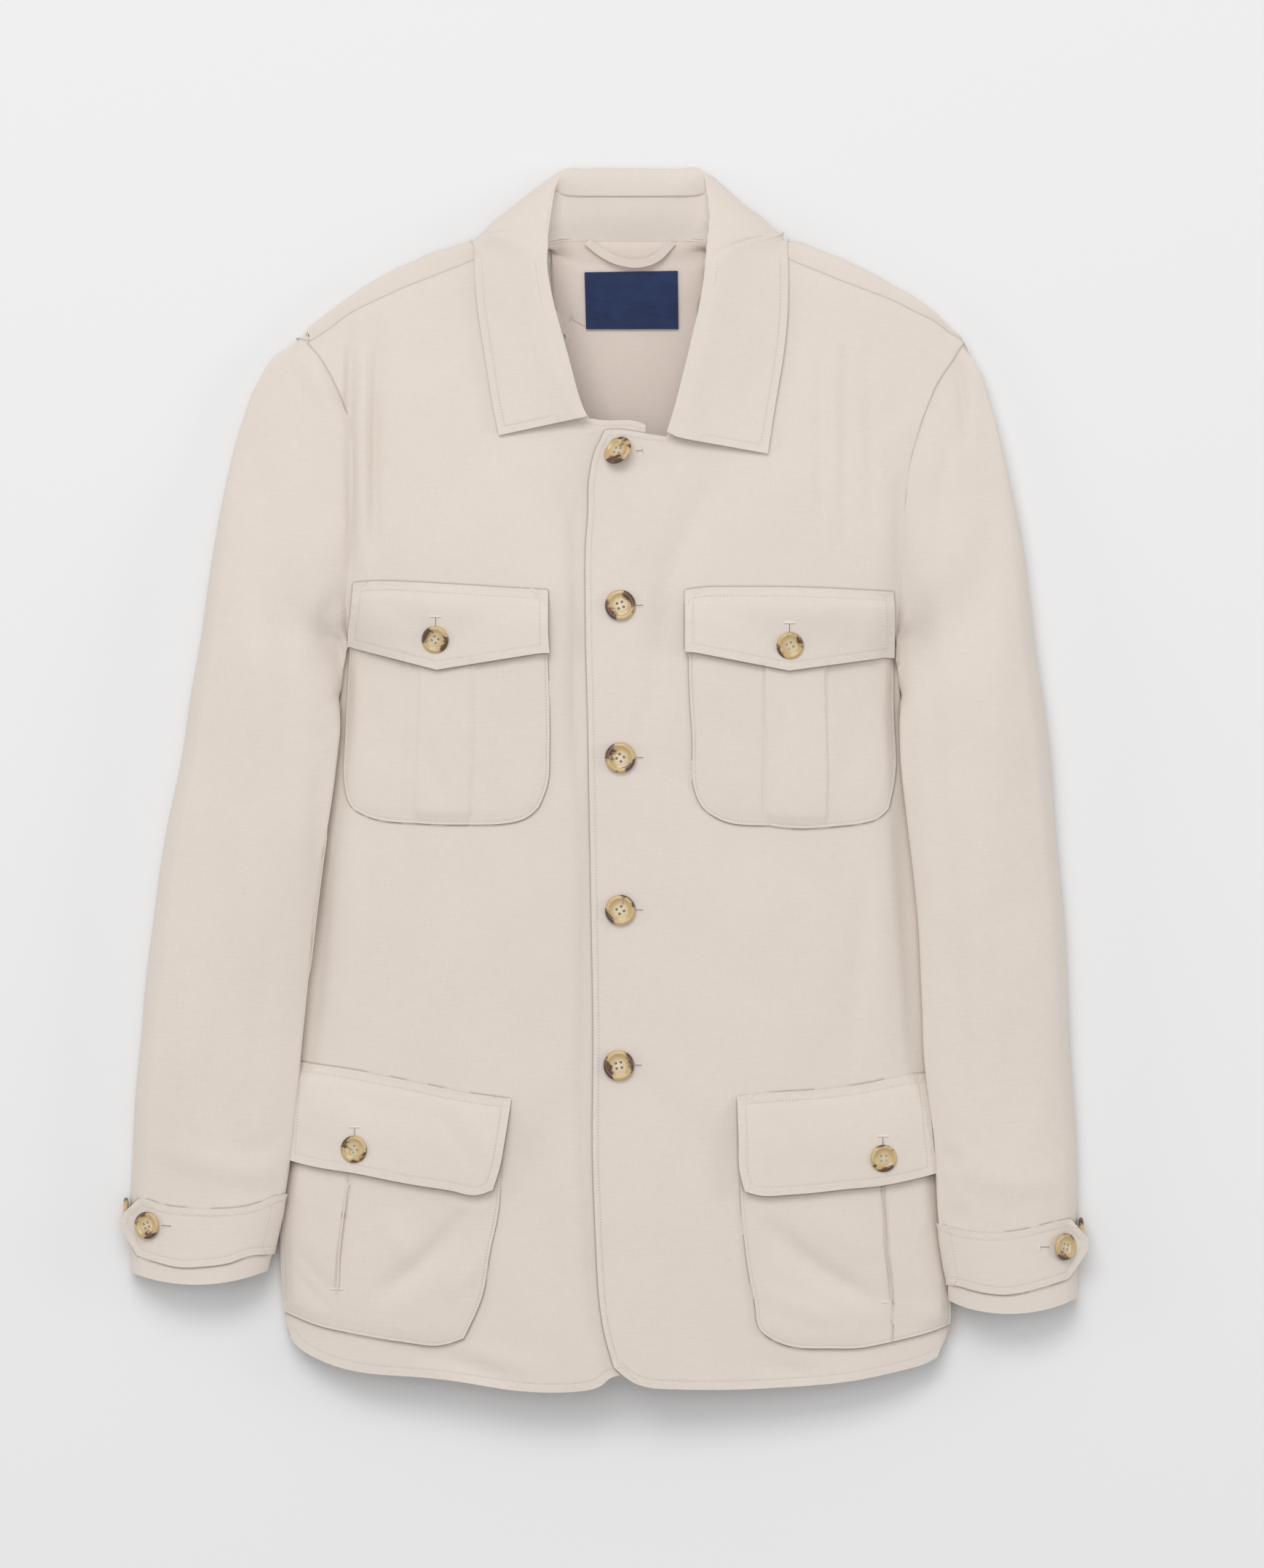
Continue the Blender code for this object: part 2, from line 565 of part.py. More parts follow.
def cloth(name, points, wall, look, closed=False, flip=False):
    """A cloth piece: the outside as a sheet of points in rows, thickened inwards."""
    rows, columns = points.shape[:2]
    present = ~np.isnan(points[..., 0])
    numbers = np.full((rows, columns), -1)
    numbers[present] = np.arange(present.sum())
    quads = faces_of(numbers, closed)
    if flip:
        quads = [quad[::-1] for quad in quads]
    mesh = bpy.data.meshes.new(name)
    placed = (points[present] + CENTRE_SHIFT) * MM
    mesh.from_pydata(placed.tolist(), [], [tuple(int(i) for i in quad) for quad in quads])
    mesh.materials.append(look)
    mesh.shade_smooth()
    piece = bpy.data.objects.new(name, mesh)
    PARTS.objects.link(piece)
    thicken = piece.modifiers.new("Cloth", "SOLIDIFY")
    thicken.thickness = wall * MM
    thicken.offset = -1
    return piece


def surface_tree(*sheets):
    """A tree of the outside of some pieces, to seat what lies on them."""
    corners = []
    quads = []
    for points in sheets:
        present = ~np.isnan(points[..., 0])
        numbers = np.full(points.shape[:2], -1)
        numbers[present] = np.arange(present.sum()) + len(corners)
        corners.extend(points[present].tolist())
        quads.extend([[int(i) for i in quad] for quad in faces_of(numbers)])
    return BVHTree.FromPolygons(corners, quads)


def height_on(tree, x, y):
    hit = tree.ray_cast(Vector((x, y, 500.0)), Vector((0, 0, -1)))
    return hit[0], hit[1]


def settled(points, tree, clear):
    """The sheet with its points raised until it clears what it lies on everywhere."""
    points = points.copy()
    steps = [(u, v) for u in SETTLE_STEPS for v in SETTLE_STEPS]
    for _ in range(SETTLE_ROUNDS):
        rise = np.zeros(points.shape[:2])
        for i, j in np.ndindex(points.shape[0] - 1, points.shape[1] - 1):
            cell = points[i : i + 2, j : j + 2]
            for u, v in steps:
                weights = np.array([[(1 - u) * (1 - v), (1 - u) * v], [u * (1 - v), u * v]])
                x, y, z = (cell * weights[..., None]).sum(axis=(0, 1))
                place, facing = height_on(tree, x, y)
                if place is None:
                    continue
                short = place.z + clear / max(abs(facing.z), 0.6) - z
                if short > 0:
                    share = short * weights / (weights**2).sum()
                    rise[i : i + 2, j : j + 2] = np.maximum(rise[i : i + 2, j : j + 2], share)
        points[..., 2] += rise
    return points


# The seams that two pieces share


def armhole_front(side):
    rows = ARMHOLE_RIGHT if side < 0 else ARMHOLE_LEFT
    plan = track(rows, FRONT_SHARES)
    return lifted(plan, top_height)


def armhole_back(side):
    rows = BACK_ARMHOLE_RIGHT if side < 0 else BACK_ARMHOLE_LEFT
    plan = track(rows, BACK_SHARES)
    points = lifted(plan, under_height)
    points[0, 2] = ARMPIT_HEIGHTS[0]
    points[-1, 2] = read(HEIGHTS, plan[-1, 1], 1)
    return points


def shoulder_seam(side):
    rows = SHOULDER_SEAM_RIGHT if side < 0 else SHOULDER_SEAM_LEFT
    return lifted(track(rows, closer_to_end(SHOULDER_COLUMNS, SHOULDER_SPREAD)), top_height)


def side_seam(side):
    """Side seam from the hem to just under the armpit."""
    hem = HEM_RIGHT if side < 0 else HEM_LEFT
    y = np.array([hem[-1][1], *SIDE_LEVELS], float)
    x = read(BODY_SIDES, y, 1 if side < 0 else 2)
    x[0] = hem[-1][0]
    return np.stack([x, y, read(HEIGHTS, y, 1)], axis=-1)


def front_sheet(side):
    """Outside of one front, as rows from the hem up and columns from the front edge out."""
    under = side < 0
    hem = HEM_RIGHT if under else HEM_LEFT
    neck = NECK_RIGHT if under else NECK_LEFT
    top_edge = TOP_EDGE_RIGHT if under else TOP_EDGE_LEFT
    armhole = armhole_front(side)[::-1]
    side_edge = np.concatenate([side_seam(side), armhole])[:, :2]
    low_rows = len(side_seam(side)) + NECK_ROW + 1
    low_side = side_edge[:low_rows]
    levels = (low_side[:, 1] - low_side[0, 1]) / (low_side[-1, 1] - low_side[0, 1])
    front_y = hem[0][1] + levels * (top_edge[0][1] - hem[0][1])
    front_x = np.full(len(levels), UNDER_EDGE_X)
    if not under:
        front_x = through(column(OVER_EDGE, 1), column(OVER_EDGE, 0), front_y)
    front_edge = np.stack([front_x, front_y], axis=-1)
    foot_share = abs(neck[0][0] - hem[0][0]) / abs(hem[-1][0] - hem[0][0])
    spread = closer_to_end(SHOULDER_COLUMNS, FRONT_SPREAD)
    shares = np.concatenate(
        [np.linspace(0, foot_share, PLACKET_COLUMNS + 1)[:-1], foot_share + (1 - foot_share) * spread]
    )
    hem_x = hem[0][0] + shares * (hem[-1][0] - hem[0][0])
    hem_edge = track(hem, through(hem_shares(hem), hem_lengths(hem), hem_share_at(hem, hem_x)))
    placket_top = track(top_edge, np.linspace(0, 1, PLACKET_COLUMNS + 1))[:-1]
    foot = np.array(neck[0], float)
    across = foot + (low_side[-1] - foot) * spread[:, None]
    low_top = np.concatenate([placket_top, across])
    low = joined(hem_edge, low_top, front_edge, low_side)
    high_side = side_edge[low_rows - 1 :]
    high_shares = (high_side[:, 1] - high_side[0, 1]) / (high_side[-1, 1] - high_side[0, 1])
    neck_edge = track(neck, high_shares)
    seam = shoulder_seam(side)[:, :2]
    high = joined(across, seam, neck_edge, high_side)
    blank = np.full((len(high) - 1, PLACKET_COLUMNS, 2), np.nan)
    plan = np.concatenate([low, np.concatenate([blank, high[1:]], axis=1)])
    height = top_height(plan[..., 0], plan[..., 1])
    if not under:
        height = height + over_lift(plan[..., 0])
    points = np.concatenate([plan, height[..., None]], axis=-1)
    seam_rows = len(side_seam(side))
    points[:seam_rows, -1, 2] = side_seam(side)[:, 2] + SEAM_GAP / 2 + SEAM_DROP
    points[-1, PLACKET_COLUMNS:, 1] -= SHOULDER_GAP
    points[-1, PLACKET_COLUMNS, 1] -= SHOULDER_GAP
    points[seam_rows, -1, 2] = ARMPIT_HEIGHTS[1]
    rim = np.full((len(points), 1, 3), np.nan)
    rim[:seam_rows, 0] = points[:seam_rows, -1] - (0, 0, SEAM_DROP)
    return np.concatenate([points, rim], axis=1)


def hem_shares(hem):
    x = column(hem, 0)
    return (x - x[0]) / (x[-1] - x[0])


def hem_lengths(hem):
    points = np.asarray(hem, float)
    length = np.concatenate([[0], np.cumsum(np.linalg.norm(np.diff(points, axis=0), axis=1))])
    return length / length[-1]


def hem_share_at(hem, x):
    return (x - hem[0][0]) / (hem[-1][0] - hem[0][0])


def back_sheet():
    """Outside of the back: rows from the hem, round the shoulders, to the shoulder seams."""
    right_side, left_side = side_seam(-1), side_seam(1)
    right_edge = np.concatenate([right_side, armhole_back(-1)])
    left_edge = np.concatenate([left_side, armhole_back(1)])
    seam_right, seam_left = shoulder_seam(-1)[::-1], shoulder_seam(1)
    neck_x = np.array(NECK_COLUMNS, float)
    seam_row = np.concatenate(
        [
            seam_right,
            np.stack([neck_x, np.full(len(neck_x), BACK_NECK_Y), read(BACK_NECK, neck_x, 2)], axis=-1),
            seam_left,
        ]
    )
    outline_x = seam_row[:, 0].copy()
    outline_x[: len(seam_right)] += (right_edge[-1, 0] - outline_x[0]) * np.linspace(1, 0, len(seam_right))
    outline_x[-len(seam_left) :] += (left_edge[-1, 0] - outline_x[-1]) * np.linspace(0, 1, len(seam_left))
    outline_y = read(SHOULDER_LINE, outline_x, 1)
    in_neck = (outline_x > BACK_NECK[0][0]) & (outline_x < BACK_NECK[-1][0])
    outline_y = np.where(in_neck, read(BACK_NECK, outline_x, 1), outline_y)
    outline_row = np.stack([outline_x, outline_y], axis=-1)
    outline_row[0], outline_row[-1] = right_edge[-1, :2], left_edge[-1, :2]
    hem_x = hem_spread(len(outline_x)) * (left_side[0, 0] - right_side[0, 0]) + right_side[0, 0]
    hem_y = np.interp(hem_x, *back_hem())
    hem_row = np.stack([hem_x, hem_y], axis=-1)
    hem_row[0], hem_row[-1] = right_side[0, :2], left_side[0, :2]
    plan = joined(hem_row, outline_row, right_edge[:, :2], left_edge[:, :2])
    points = lifted(plan, under_height)
    points[:, 0, 2], points[:, -1, 2] = right_edge[:, 2], left_edge[:, 2]
    for edge in (0, -1):
        points[: len(right_side), edge, 2] -= BACK_SEAM_GAP
    neck_share = eased(BACK_NECK[0][0], BACK_NECK[2][0], outline_x)
    neck_share = neck_share * eased(BACK_NECK[-1][0], BACK_NECK[-3][0], outline_x)
    rolled = []
    for share in SHOULDER_ROLL_ROWS:
        row_plan = outline_row + (seam_row[:, :2] - outline_row) * share
        over = top_height(row_plan[:, 0], row_plan[:, 1])
        neck = points[-1, :, 2] + (seam_row[:, 2] - points[-1, :, 2]) * share
        row = np.concatenate([row_plan, (over + (neck - over) * neck_share)[:, None]], axis=-1)
        row[0] = points[-1, 0] + (seam_row[0] - points[-1, 0]) * share
        row[-1] = points[-1, -1] + (seam_row[-1] - points[-1, -1]) * share
        rolled.append(row)
    return np.concatenate([points, np.stack(rolled)])


def hem_spread(count):
    """Columns of the back at the hem, closer to the side seams."""
    share = np.linspace(-1, 1, count)
    return 0.5 + 0.5 * np.sign(share) * (1 - (1 - abs(share)) ** HEM_SPREAD)


def back_hem():
    """The back's hem lies a little above the front's."""
    x = [row[0] for row in HEM_RIGHT[::-1]][:-2] + [row[0] for row in HEM_LEFT[3:]]
    y = [row[1] for row in HEM_RIGHT[::-1]][:-2] + [row[1] for row in HEM_LEFT[3:]]
    lift = BACK_HEM_RISE * np.sin(np.linspace(0, math.pi, len(x))) ** 0.5
    return x, np.array(y, float) + lift


# Sleeves

def body_clearance(x, y, side):
    """Lowest height at which a sleeve passes over the body's side."""
    seam = read(BODY_SIDES, y, 1 if side < 0 else 2)
    inside = (seam - x) * side
    over = top_height(x, y) + SLEEVE_CLEAR
    beside = (read(HEIGHTS, y, 1) + SLEEVE_CLEAR + 2) * eased(-17, 0, inside)
    return np.where(inside > 0, np.maximum(over, beside), beside) * eased(64, 50, y)


def sleeve_ring(side, share, front_steps, back_steps):
    """One ring of a sleeve, from the outer edge over the top and back underneath."""
    outer = track(SLEEVE_OUTER_RIGHT if side < 0 else SLEEVE_OUTER_LEFT, share)
    inner_share = 0.16 * share**0.8 + 0.84 * share**2.4
    inner = track(SLEEVE_INNER_RIGHT if side < 0 else SLEEVE_INNER_LEFT, inner_share)
    front, back = armhole_front(side), armhole_back(side)
    first_outer, first_inner = back[-1, :2], front[-1, :2]
    bow = np.clip(1 - share / 0.34, 0, 1) ** 2
    cuff = eased(0.93, 1, share)
    plans = []
    for steps, seam, dip in ((front_steps, front, -CUFF_DIP), (back_steps, back[::-1], CUFF_DIP / 2)):
        line = outer + steps[:, None] * (inner - outer)
        straight = first_outer + steps[:, None] * (first_inner - first_outer)
        line = line + bow * (seam[:, :2] - straight)
        line[:, 1] += dip * cuff * 4 * steps * (1 - steps)
        plans.append(line)
    rim = read(HEIGHTS, outer[1], 1)
    full = read(SLEEVE_HEIGHTS, share, 1)
    off_body = (read(BODY_SIDES, inner[1], 1 if side < 0 else 2) - inner[0]) * side
    over_body = max(FREE_FOLD, float(top_height(*inner)) + SLEEVE_REST)
    fold = FREE_FOLD + (over_body - FREE_FOLD) * float(eased(-8, 2, off_body))
    start = ARMPIT_HEIGHTS[2]
    fold = start + (fold - start) * float(eased(-2, 14, front[-1, 1] - inner[1]))
    base = rim + (fold - rim) * front_steps
    swell = (1 - (1 - np.clip(front_steps / 0.5, 0, 1)) ** 2.4) ** 0.6
    swell = swell * (1 - (1 - np.clip((1 - front_steps) / 0.42, 0, 1)) ** 2.4) ** 0.6
    own = base + (full - base) * swell
    shared = top_height(plans[0][:, 0], plans[0][:, 1])
    height = shared + (own - shared) * eased(0.02, 0.33, share)
    height = height + (fold - height[-1]) * front_steps**8
    top = np.concatenate([plans[0], height[:, None]], axis=-1)
    width = np.linalg.norm(inner - outer)
    floor = rim * (1 - rounding(back_steps * width, rim))
    turned = fold * (1 - rounding((1 - back_steps) * width, UNDER_FOLD_REACH))
    under = np.maximum(floor, turned)
    under = np.maximum(under, body_clearance(plans[1][:, 0], plans[1][:, 1], side))
    under = np.minimum(under, fold - 3.0)
    under[-1] = fold
    low = np.concatenate([plans[1], under[:, None]], axis=-1)[::-1]
    low[-1, 2] = rim
    return np.concatenate([top, low[1:]])


def sleeve_sheet(side):
    front_steps = RING_START + (1 - RING_START) * RING_FRONT_SHARES
    back_steps = RING_BACK_SHARES[::-1]
    front, back = armhole_front(side), armhole_back(side)
    first = np.concatenate([front, back[1:]])
    armpit = len(front) - 1
    first[armpit, 2] = ARMPIT_HEIGHTS[2]
    first[:, 0] += side * ARMHOLE_GAP
    first[armpit - 1 : armpit + 2, 0] += side * np.array((0.3, 1.6, 0.6))
    drop = np.concatenate([np.linspace(1, 0, len(front)), np.linspace(0, 1, len(back))[1:]])
    first[:, 1] -= 1.5 * ARMHOLE_GAP * drop**2
    rings = [first]
    for share in (np.arange(1, SLEEVE_RINGS + 1) / SLEEVE_RINGS) ** RING_SPREAD:
        rings.append(sleeve_ring(side, share, front_steps, back_steps))
    return np.stack(rings)


# Collar


def fall_section(row):
    """Controls of one section: seam under the roll, roll, passing point and outer edge."""
    roll, passing, edge = (np.array(row[i : i + 3], float) for i in (0, 3, 6))
    on_front, back = row[9], row[10]
    for point in (roll, passing, edge):
        point[2] += on_front * float(seat_height(point[0], point[1]))
    outwards = (passing - roll) * (1, 1, 0)
    outwards = outwards / np.linalg.norm(outwards)
    seam_back = np.array([roll[0], SEAM_LINE[0], SEAM_LINE[1]])
    drop = max(LEAST_SEAM_DROP, 0.5 * row[2]) if on_front else BACK_SEAM_DROP
    seam = back * seam_back + (1 - back) * (roll + outwards * SEAM_UNDER_ROLL - (0, 0, drop))
    turn = seam + 0.62 * (roll - seam) + (0, 0, ROLL_RISE * back)
    return seam, turn, roll, passing, edge


def fall_sheet():
    rows = FALL_RIGHT[::-1] + (FALL_CENTRE,) + FALL_LEFT
    sections = []
    for row in rows:
        seam, turn, roll, passing, edge = fall_section(row)
        bend = (passing - roll) * (1, 1, 0.35) * 0.45 + roll
        upper = track([roll, bend, passing], np.array([0, 0.5, 1]))
        lower = track([passing, (passing + edge) / 2, edge], np.array([0.33, 0.67, 1]))
        sections.append(np.concatenate([[seam, turn], upper, lower]))
    return np.stack(sections)


def stand_sheet():
    rows = FALL_RIGHT[-2::-1] + (FALL_CENTRE,) + FALL_LEFT[:-1]
    feet = STAND_RIGHT[::-1] + (STAND_CENTRE,) + STAND_LEFT
    sections = []
    for row, foot in zip(rows, feet):
        seam = fall_section(row)[0]
        foot = np.array(foot, float)
        if row[9]:
            foot[2] = float(seat_height(foot[0], foot[1])) + LAYER_GAP
            flat = np.linalg.norm((seam - foot)[:2]) / np.linalg.norm(seam - foot)
            foot[2] += flat * PANEL_WALL
        top = seam + (foot - seam) * (2 * SEAM_GAP / np.linalg.norm(foot - seam))
        middle = (foot + top) / 2
        sections.append(np.stack([foot, middle, top]))
    return np.stack(sections)


# Pockets, flaps and tabs


def patch_plan(edges, rows, columns):
    steps = np.linspace(0, 1, columns + 1) if isinstance(columns, int) else np.asarray(columns)
    downs = np.linspace(0, 1, rows + 1)
    top, bottom = track(edges["top"], steps), track(edges["bottom"], steps)
    start, end = track(edges["start"], downs), track(edges["end"], downs)
    return joined(top, bottom, start, end)


def bag_sheet(edges, steps, relief, rows):
    plan = patch_plan(edges, rows, steps)
    across, down = np.meshgrid(steps, np.linspace(0, 1, rows + 1))
    puff = BAG_PUFF * (np.sin(math.pi * across) * np.sin(math.pi * np.clip(down, 0.1, 1))) ** 0.5
    height = seat_height(plan[..., 0], plan[..., 1]) + PATCH_CLEAR + PATCH_REST
    height = height + puff + np.asarray(relief)[None, :]
    return np.concatenate([plan, height[..., None]], axis=-1)


def box_pleat(pleat):
    """Column shares and relief of a bag with a raised pleat in the middle."""
    start, end = pleat
    first = (start - PLEAT_EDGE, start + PLEAT_EDGE)
    last = (end - PLEAT_EDGE, end + PLEAT_EDGE)
    steps = (0, 0.08, 0.2, *first, (start + end) / 2, *last, 0.8, 0.92, 1)
    relief = [PLEAT_RELIEF if start < step < end else 0 for step in steps]
    return np.array(steps), relief


def inverted_pleat(place):
    """Column shares and relief of a bag whose edges meet over a narrow sunk fold."""
    low = [share * place for share in (0, 0.25, 0.5, 0.75)]
    high = [1 - share * (1 - place) for share in (0.8, 0.6, 0.4, 0.2, 0)]
    steps = np.array([*low, place - INVERTED_EDGE, place, place + INVERTED_EDGE, *high])
    relief = np.zeros(len(steps))
    relief[len(low) + 1] = -INVERTED_DEPTH
    return steps, relief


def flap_sheet(edges, rows, columns):
    plan = patch_plan(edges, rows, columns)
    down = np.linspace(0, 1, rows + 1)[:, None]
    height = seat_height(plan[..., 0], plan[..., 1]) + PATCH_CLEAR + PATCH_REST
    height = height + (PATCH_CLEAR + BAG_PUFF + PLEAT_RELIEF) * eased(0.0, 0.45, down)
    return np.concatenate([plan, height[..., None]], axis=-1)


def tab_sheet(edges, side, sleeve):
    """A tab lies over the cuff, turns round its inner fold and ends underneath."""
    fold = len(RING_FRONT_SHARES) - 1
    columns = []
    facings = facing_of(sleeve) * side
    for j in range(fold + TAB_UNDER_POINTS + 1):
        rail, facing = sleeve[:, j], facings[:, j]
        x = rail[-3, 0] if j <= fold else sleeve[-3, fold, 0]
        column_points = []
        for y in edge_heights(edges, x):
            level = -rail[:, 1]
            place = np.array([np.interp(-y, level, rail[:, i]) for i in range(3)])
            out = np.array([np.interp(-y, level, facing[:, i]) for i in range(3)])
            column_points.append(place + out / np.linalg.norm(out) * TAB_LIFT)
        columns.append(column_points)
    tip_x, tip_top, tip_bottom, tip_z = TAB_TIPS[side]
    tip = [(tip_x, tip_top + (tip_bottom - tip_top) * share, tip_z) for share in TAB_ROWS]
    points = np.array([tip, *columns], float)
    return points.transpose(1, 0, 2)


def edge_heights(edges, x):
    """Levels of a tab's rows where its upper and lower edges pass a given X."""
    levels = []
    for edge in (edges["top"], edges["bottom"]):
        edge = sorted(edge)
        levels.append(np.interp(x, [point[0] for point in edge], [point[1] for point in edge]))
    return [levels[0] + (levels[1] - levels[0]) * share for share in TAB_ROWS]


def facing_of(points):
    """Directions across a closed tube of rings, towards the same side everywhere."""
    along = np.gradient(points, axis=0)
    around = np.roll(points, -1, axis=1) - np.roll(points, 1, axis=1)
    out = np.cross(around, along)
    return out / np.linalg.norm(out, axis=-1)[..., None]


def loop_sheet():
    steps = np.linspace(0, 1, LOOP_COLUMNS + 1)
    middle = track(LOOP_PATH, steps)
    along = np.gradient(middle[:, :2], axis=0)
    along = along / np.linalg.norm(along, axis=1)[:, None]
    across = np.stack([-along[:, 1], along[:, 0]], axis=-1) * LOOP_WIDTH / 2
    sides = []
    for way in (-1, 1):
        plan = middle[:, :2] + way * across
        plan[:, 1] = np.minimum(plan[:, 1], BACK_NECK_Y - 0.8)
        floor = under_height(middle[:, 0], middle[:, 1]) + PANEL_WALL + LAYER_GAP + PATCH_WALL
        sides.append(np.concatenate([plan, (floor + middle[:, 2])[:, None]], axis=-1))
    return np.stack(sides)


def label_sheet():
    corners = np.array(LABEL_CORNERS, float)
    across = np.linspace(0, 1, LABEL_COLUMNS + 1)[:, None]
    down = np.linspace(0, 1, LABEL_ROWS + 1)[:, None, None]
    top = corners[0] + across * (corners[1] - corners[0])
    bottom = corners[3] + across * (corners[2] - corners[3])
    plan = top[None] + down * (bottom - top)[None]
    height = under_height(plan[..., 0], plan[..., 1]) + PANEL_WALL + LABEL_WALL + LAYER_GAP
    return np.concatenate([plan, height[..., None]], axis=-1)


# Buttons


def button(name, diameter, place, facing, look):
    """A turned disc with a raised rim, seated on the cloth."""
    radius = diameter / 2
    high = BUTTON_HEIGHT
    profile = [(share * radius, rise * high) for share, rise in BUTTON_PROFILE]
    mesh = bpy.data.meshes.new(name)
    made = bmesh.new()
    corners = [made.verts.new((x * MM, 0, z * MM)) for x, z in profile]
    for one, other in zip(corners, corners[1:]):
        made.edges.new((one, other))
    made.to_mesh(mesh)
    made.free()
    mesh.materials.append(look)
    piece = bpy.data.objects.new(name, mesh)
    PARTS.objects.link(piece)
    turn = piece.modifiers.new("Turned", "SCREW")
    turn.steps = BUTTON_STEPS
    turn.render_steps = BUTTON_STEPS
    turn.use_merge_vertices = True
    turn.merge_threshold = 0.00001
    turn.use_normal_calculate = True
    turn.use_smooth_shade = True
    place = Vector(place) + Vector(facing) * BUTTON_SHANK
    piece.location = (place + Vector(CENTRE_SHIFT)) * MM
    piece.rotation_euler = Vector(facing).to_track_quat("Z", "Y").to_euler()
    return piece


for leftover in list(bpy.data.objects):
    bpy.data.objects.remove(leftover)

PARTS = bpy.data.collections.new("Safari jacket")
bpy.context.scene.collection.children.link(PARTS)

linen = material("Linen cloth", LINEN, 0.9)
inside_linen = material("Inside of the linen", INSIDE_LINEN, 0.92)
horn = material("Horn button", HORN, 0.35)
satin = material("Navy satin", NAVY_SATIN, 0.45)

seats = {}
fronts = {-1: front_sheet(-1), 1: front_sheet(1)}
fronts[1][: len(side_seam(1)) + NECK_ROW + 1] = settled(
    fronts[1][: len(side_seam(1)) + NECK_ROW + 1, :], surface_tree(fronts[-1]), PANEL_WALL + LAYER_GAP
)
cloth("front_right", fronts[-1], PANEL_WALL, linen, flip=True)
cloth("front_left", fronts[1], PANEL_WALL, linen)
back = back_sheet()
cloth("back", back, PANEL_WALL, inside_linen, flip=True)
seats["front_left"] = fronts[1]

for place, side, name, bag, pleat, flap in (
    ("chest", -1, "right", CHEST_BAG_RIGHT, box_pleat(CHEST_PLEAT_RIGHT), CHEST_FLAP_RIGHT),
    ("chest", 1, "left", CHEST_BAG_LEFT, box_pleat(CHEST_PLEAT_LEFT), CHEST_FLAP_LEFT),
    ("hip", -1, "right", HIP_BAG_RIGHT, inverted_pleat(HIP_PLEAT_RIGHT), HIP_FLAP_RIGHT),
    ("hip", 1, "left", HIP_BAG_LEFT, inverted_pleat(HIP_PLEAT_LEFT), HIP_FLAP_LEFT),
):
    pocket = settled(bag_sheet(bag, *pleat, BAG_ROWS), surface_tree(fronts[side]), PATCH_CLEAR)
    cloth(f"{place}_pocket_{name}", pocket, PATCH_WALL, linen, flip=True)
    under = surface_tree(fronts[side], pocket)
    seat = settled(flap_sheet(flap, FLAP_ROWS, FLAP_COLUMNS), under, PATCH_CLEAR)
    cloth(f"{place}_flap_{name}", seat, PATCH_WALL, linen, flip=True)
    seats[f"{place}_flap_{name}"] = seat

for side, name in ((-1, "right"), (1, "left")):
    sleeve = sleeve_sheet(side)
    cloth(f"sleeve_{name}", sleeve, PANEL_WALL, linen, closed=True, flip=side < 0)
    tab = tab_sheet(TAB_RIGHT if side < 0 else TAB_LEFT, side, sleeve)
    cloth(f"cuff_tab_{name}", tab, PATCH_WALL, linen, flip=side < 0)
    seats[f"cuff_tab_{name}"] = tab

cloth("collar_stand", stand_sheet(), STAND_WALL, linen, flip=True)
cloth("collar_fall", fall_sheet(), COLLAR_WALL, linen, flip=True)

inside_back = surface_tree(back + (0, 0, PANEL_WALL))
cloth("hanger_loop", settled(loop_sheet(), inside_back, PATCH_CLEAR), PATCH_WALL, linen)
label = settled(label_sheet(), inside_back, LABEL_WALL + LAYER_GAP)
cloth("neck_label", label, LABEL_WALL, satin, flip=True)

for name, x, y, diameter, seat in BUTTON_SEATS:
    place, facing = height_on(surface_tree(seats[seat]), x, y)
    if facing.z < 0:
        facing = -facing
    button(name, diameter, place, facing, horn)

for name, side, y in SPARE_BUTTON_SEATS:
    outer = SLEEVE_OUTER_RIGHT if side < 0 else SLEEVE_OUTER_LEFT
    x = through(column(outer[::-1], 1), column(outer[::-1], 0), y)
    button(name, SMALL_BUTTON, (float(x) + side * 0.3, y, SPARE_BUTTON_Z), (side, 0, 0), horn)
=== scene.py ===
import math

import bmesh
import bpy
import numpy as np
from mathutils import Matrix, Vector
from mathutils.bvhtree import BVHTree
from mathutils.kdtree import KDTree


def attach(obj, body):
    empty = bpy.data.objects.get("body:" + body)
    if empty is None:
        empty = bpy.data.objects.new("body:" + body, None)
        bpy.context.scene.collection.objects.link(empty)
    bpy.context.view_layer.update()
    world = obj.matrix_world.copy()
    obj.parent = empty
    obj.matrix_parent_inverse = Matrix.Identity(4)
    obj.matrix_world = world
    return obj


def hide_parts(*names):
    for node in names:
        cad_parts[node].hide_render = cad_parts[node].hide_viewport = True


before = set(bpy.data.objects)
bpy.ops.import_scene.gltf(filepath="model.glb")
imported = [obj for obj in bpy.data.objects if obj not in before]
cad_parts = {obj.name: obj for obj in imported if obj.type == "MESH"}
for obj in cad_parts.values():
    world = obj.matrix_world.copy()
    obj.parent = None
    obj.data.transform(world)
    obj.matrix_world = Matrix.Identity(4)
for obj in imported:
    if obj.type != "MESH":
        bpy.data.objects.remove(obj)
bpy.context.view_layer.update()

MM = 0.001
# Plans below are in millimetres from a point on the front's middle, this far from the frame's
PLAN_SHIFT = (-0.65, -0.95)

# The view: straight down, with the jacket a little left of the middle
VIEW_CENTRE = (18.6, -2.1)
VIEW_SIZE = (824.0, 1022.4)
VIEW_HEIGHT = 6000.0
VIEW_LEVEL = 32.0

# Cloth thickness
PANEL = 1.2
COLLAR = 1.6
LABEL = 1.0

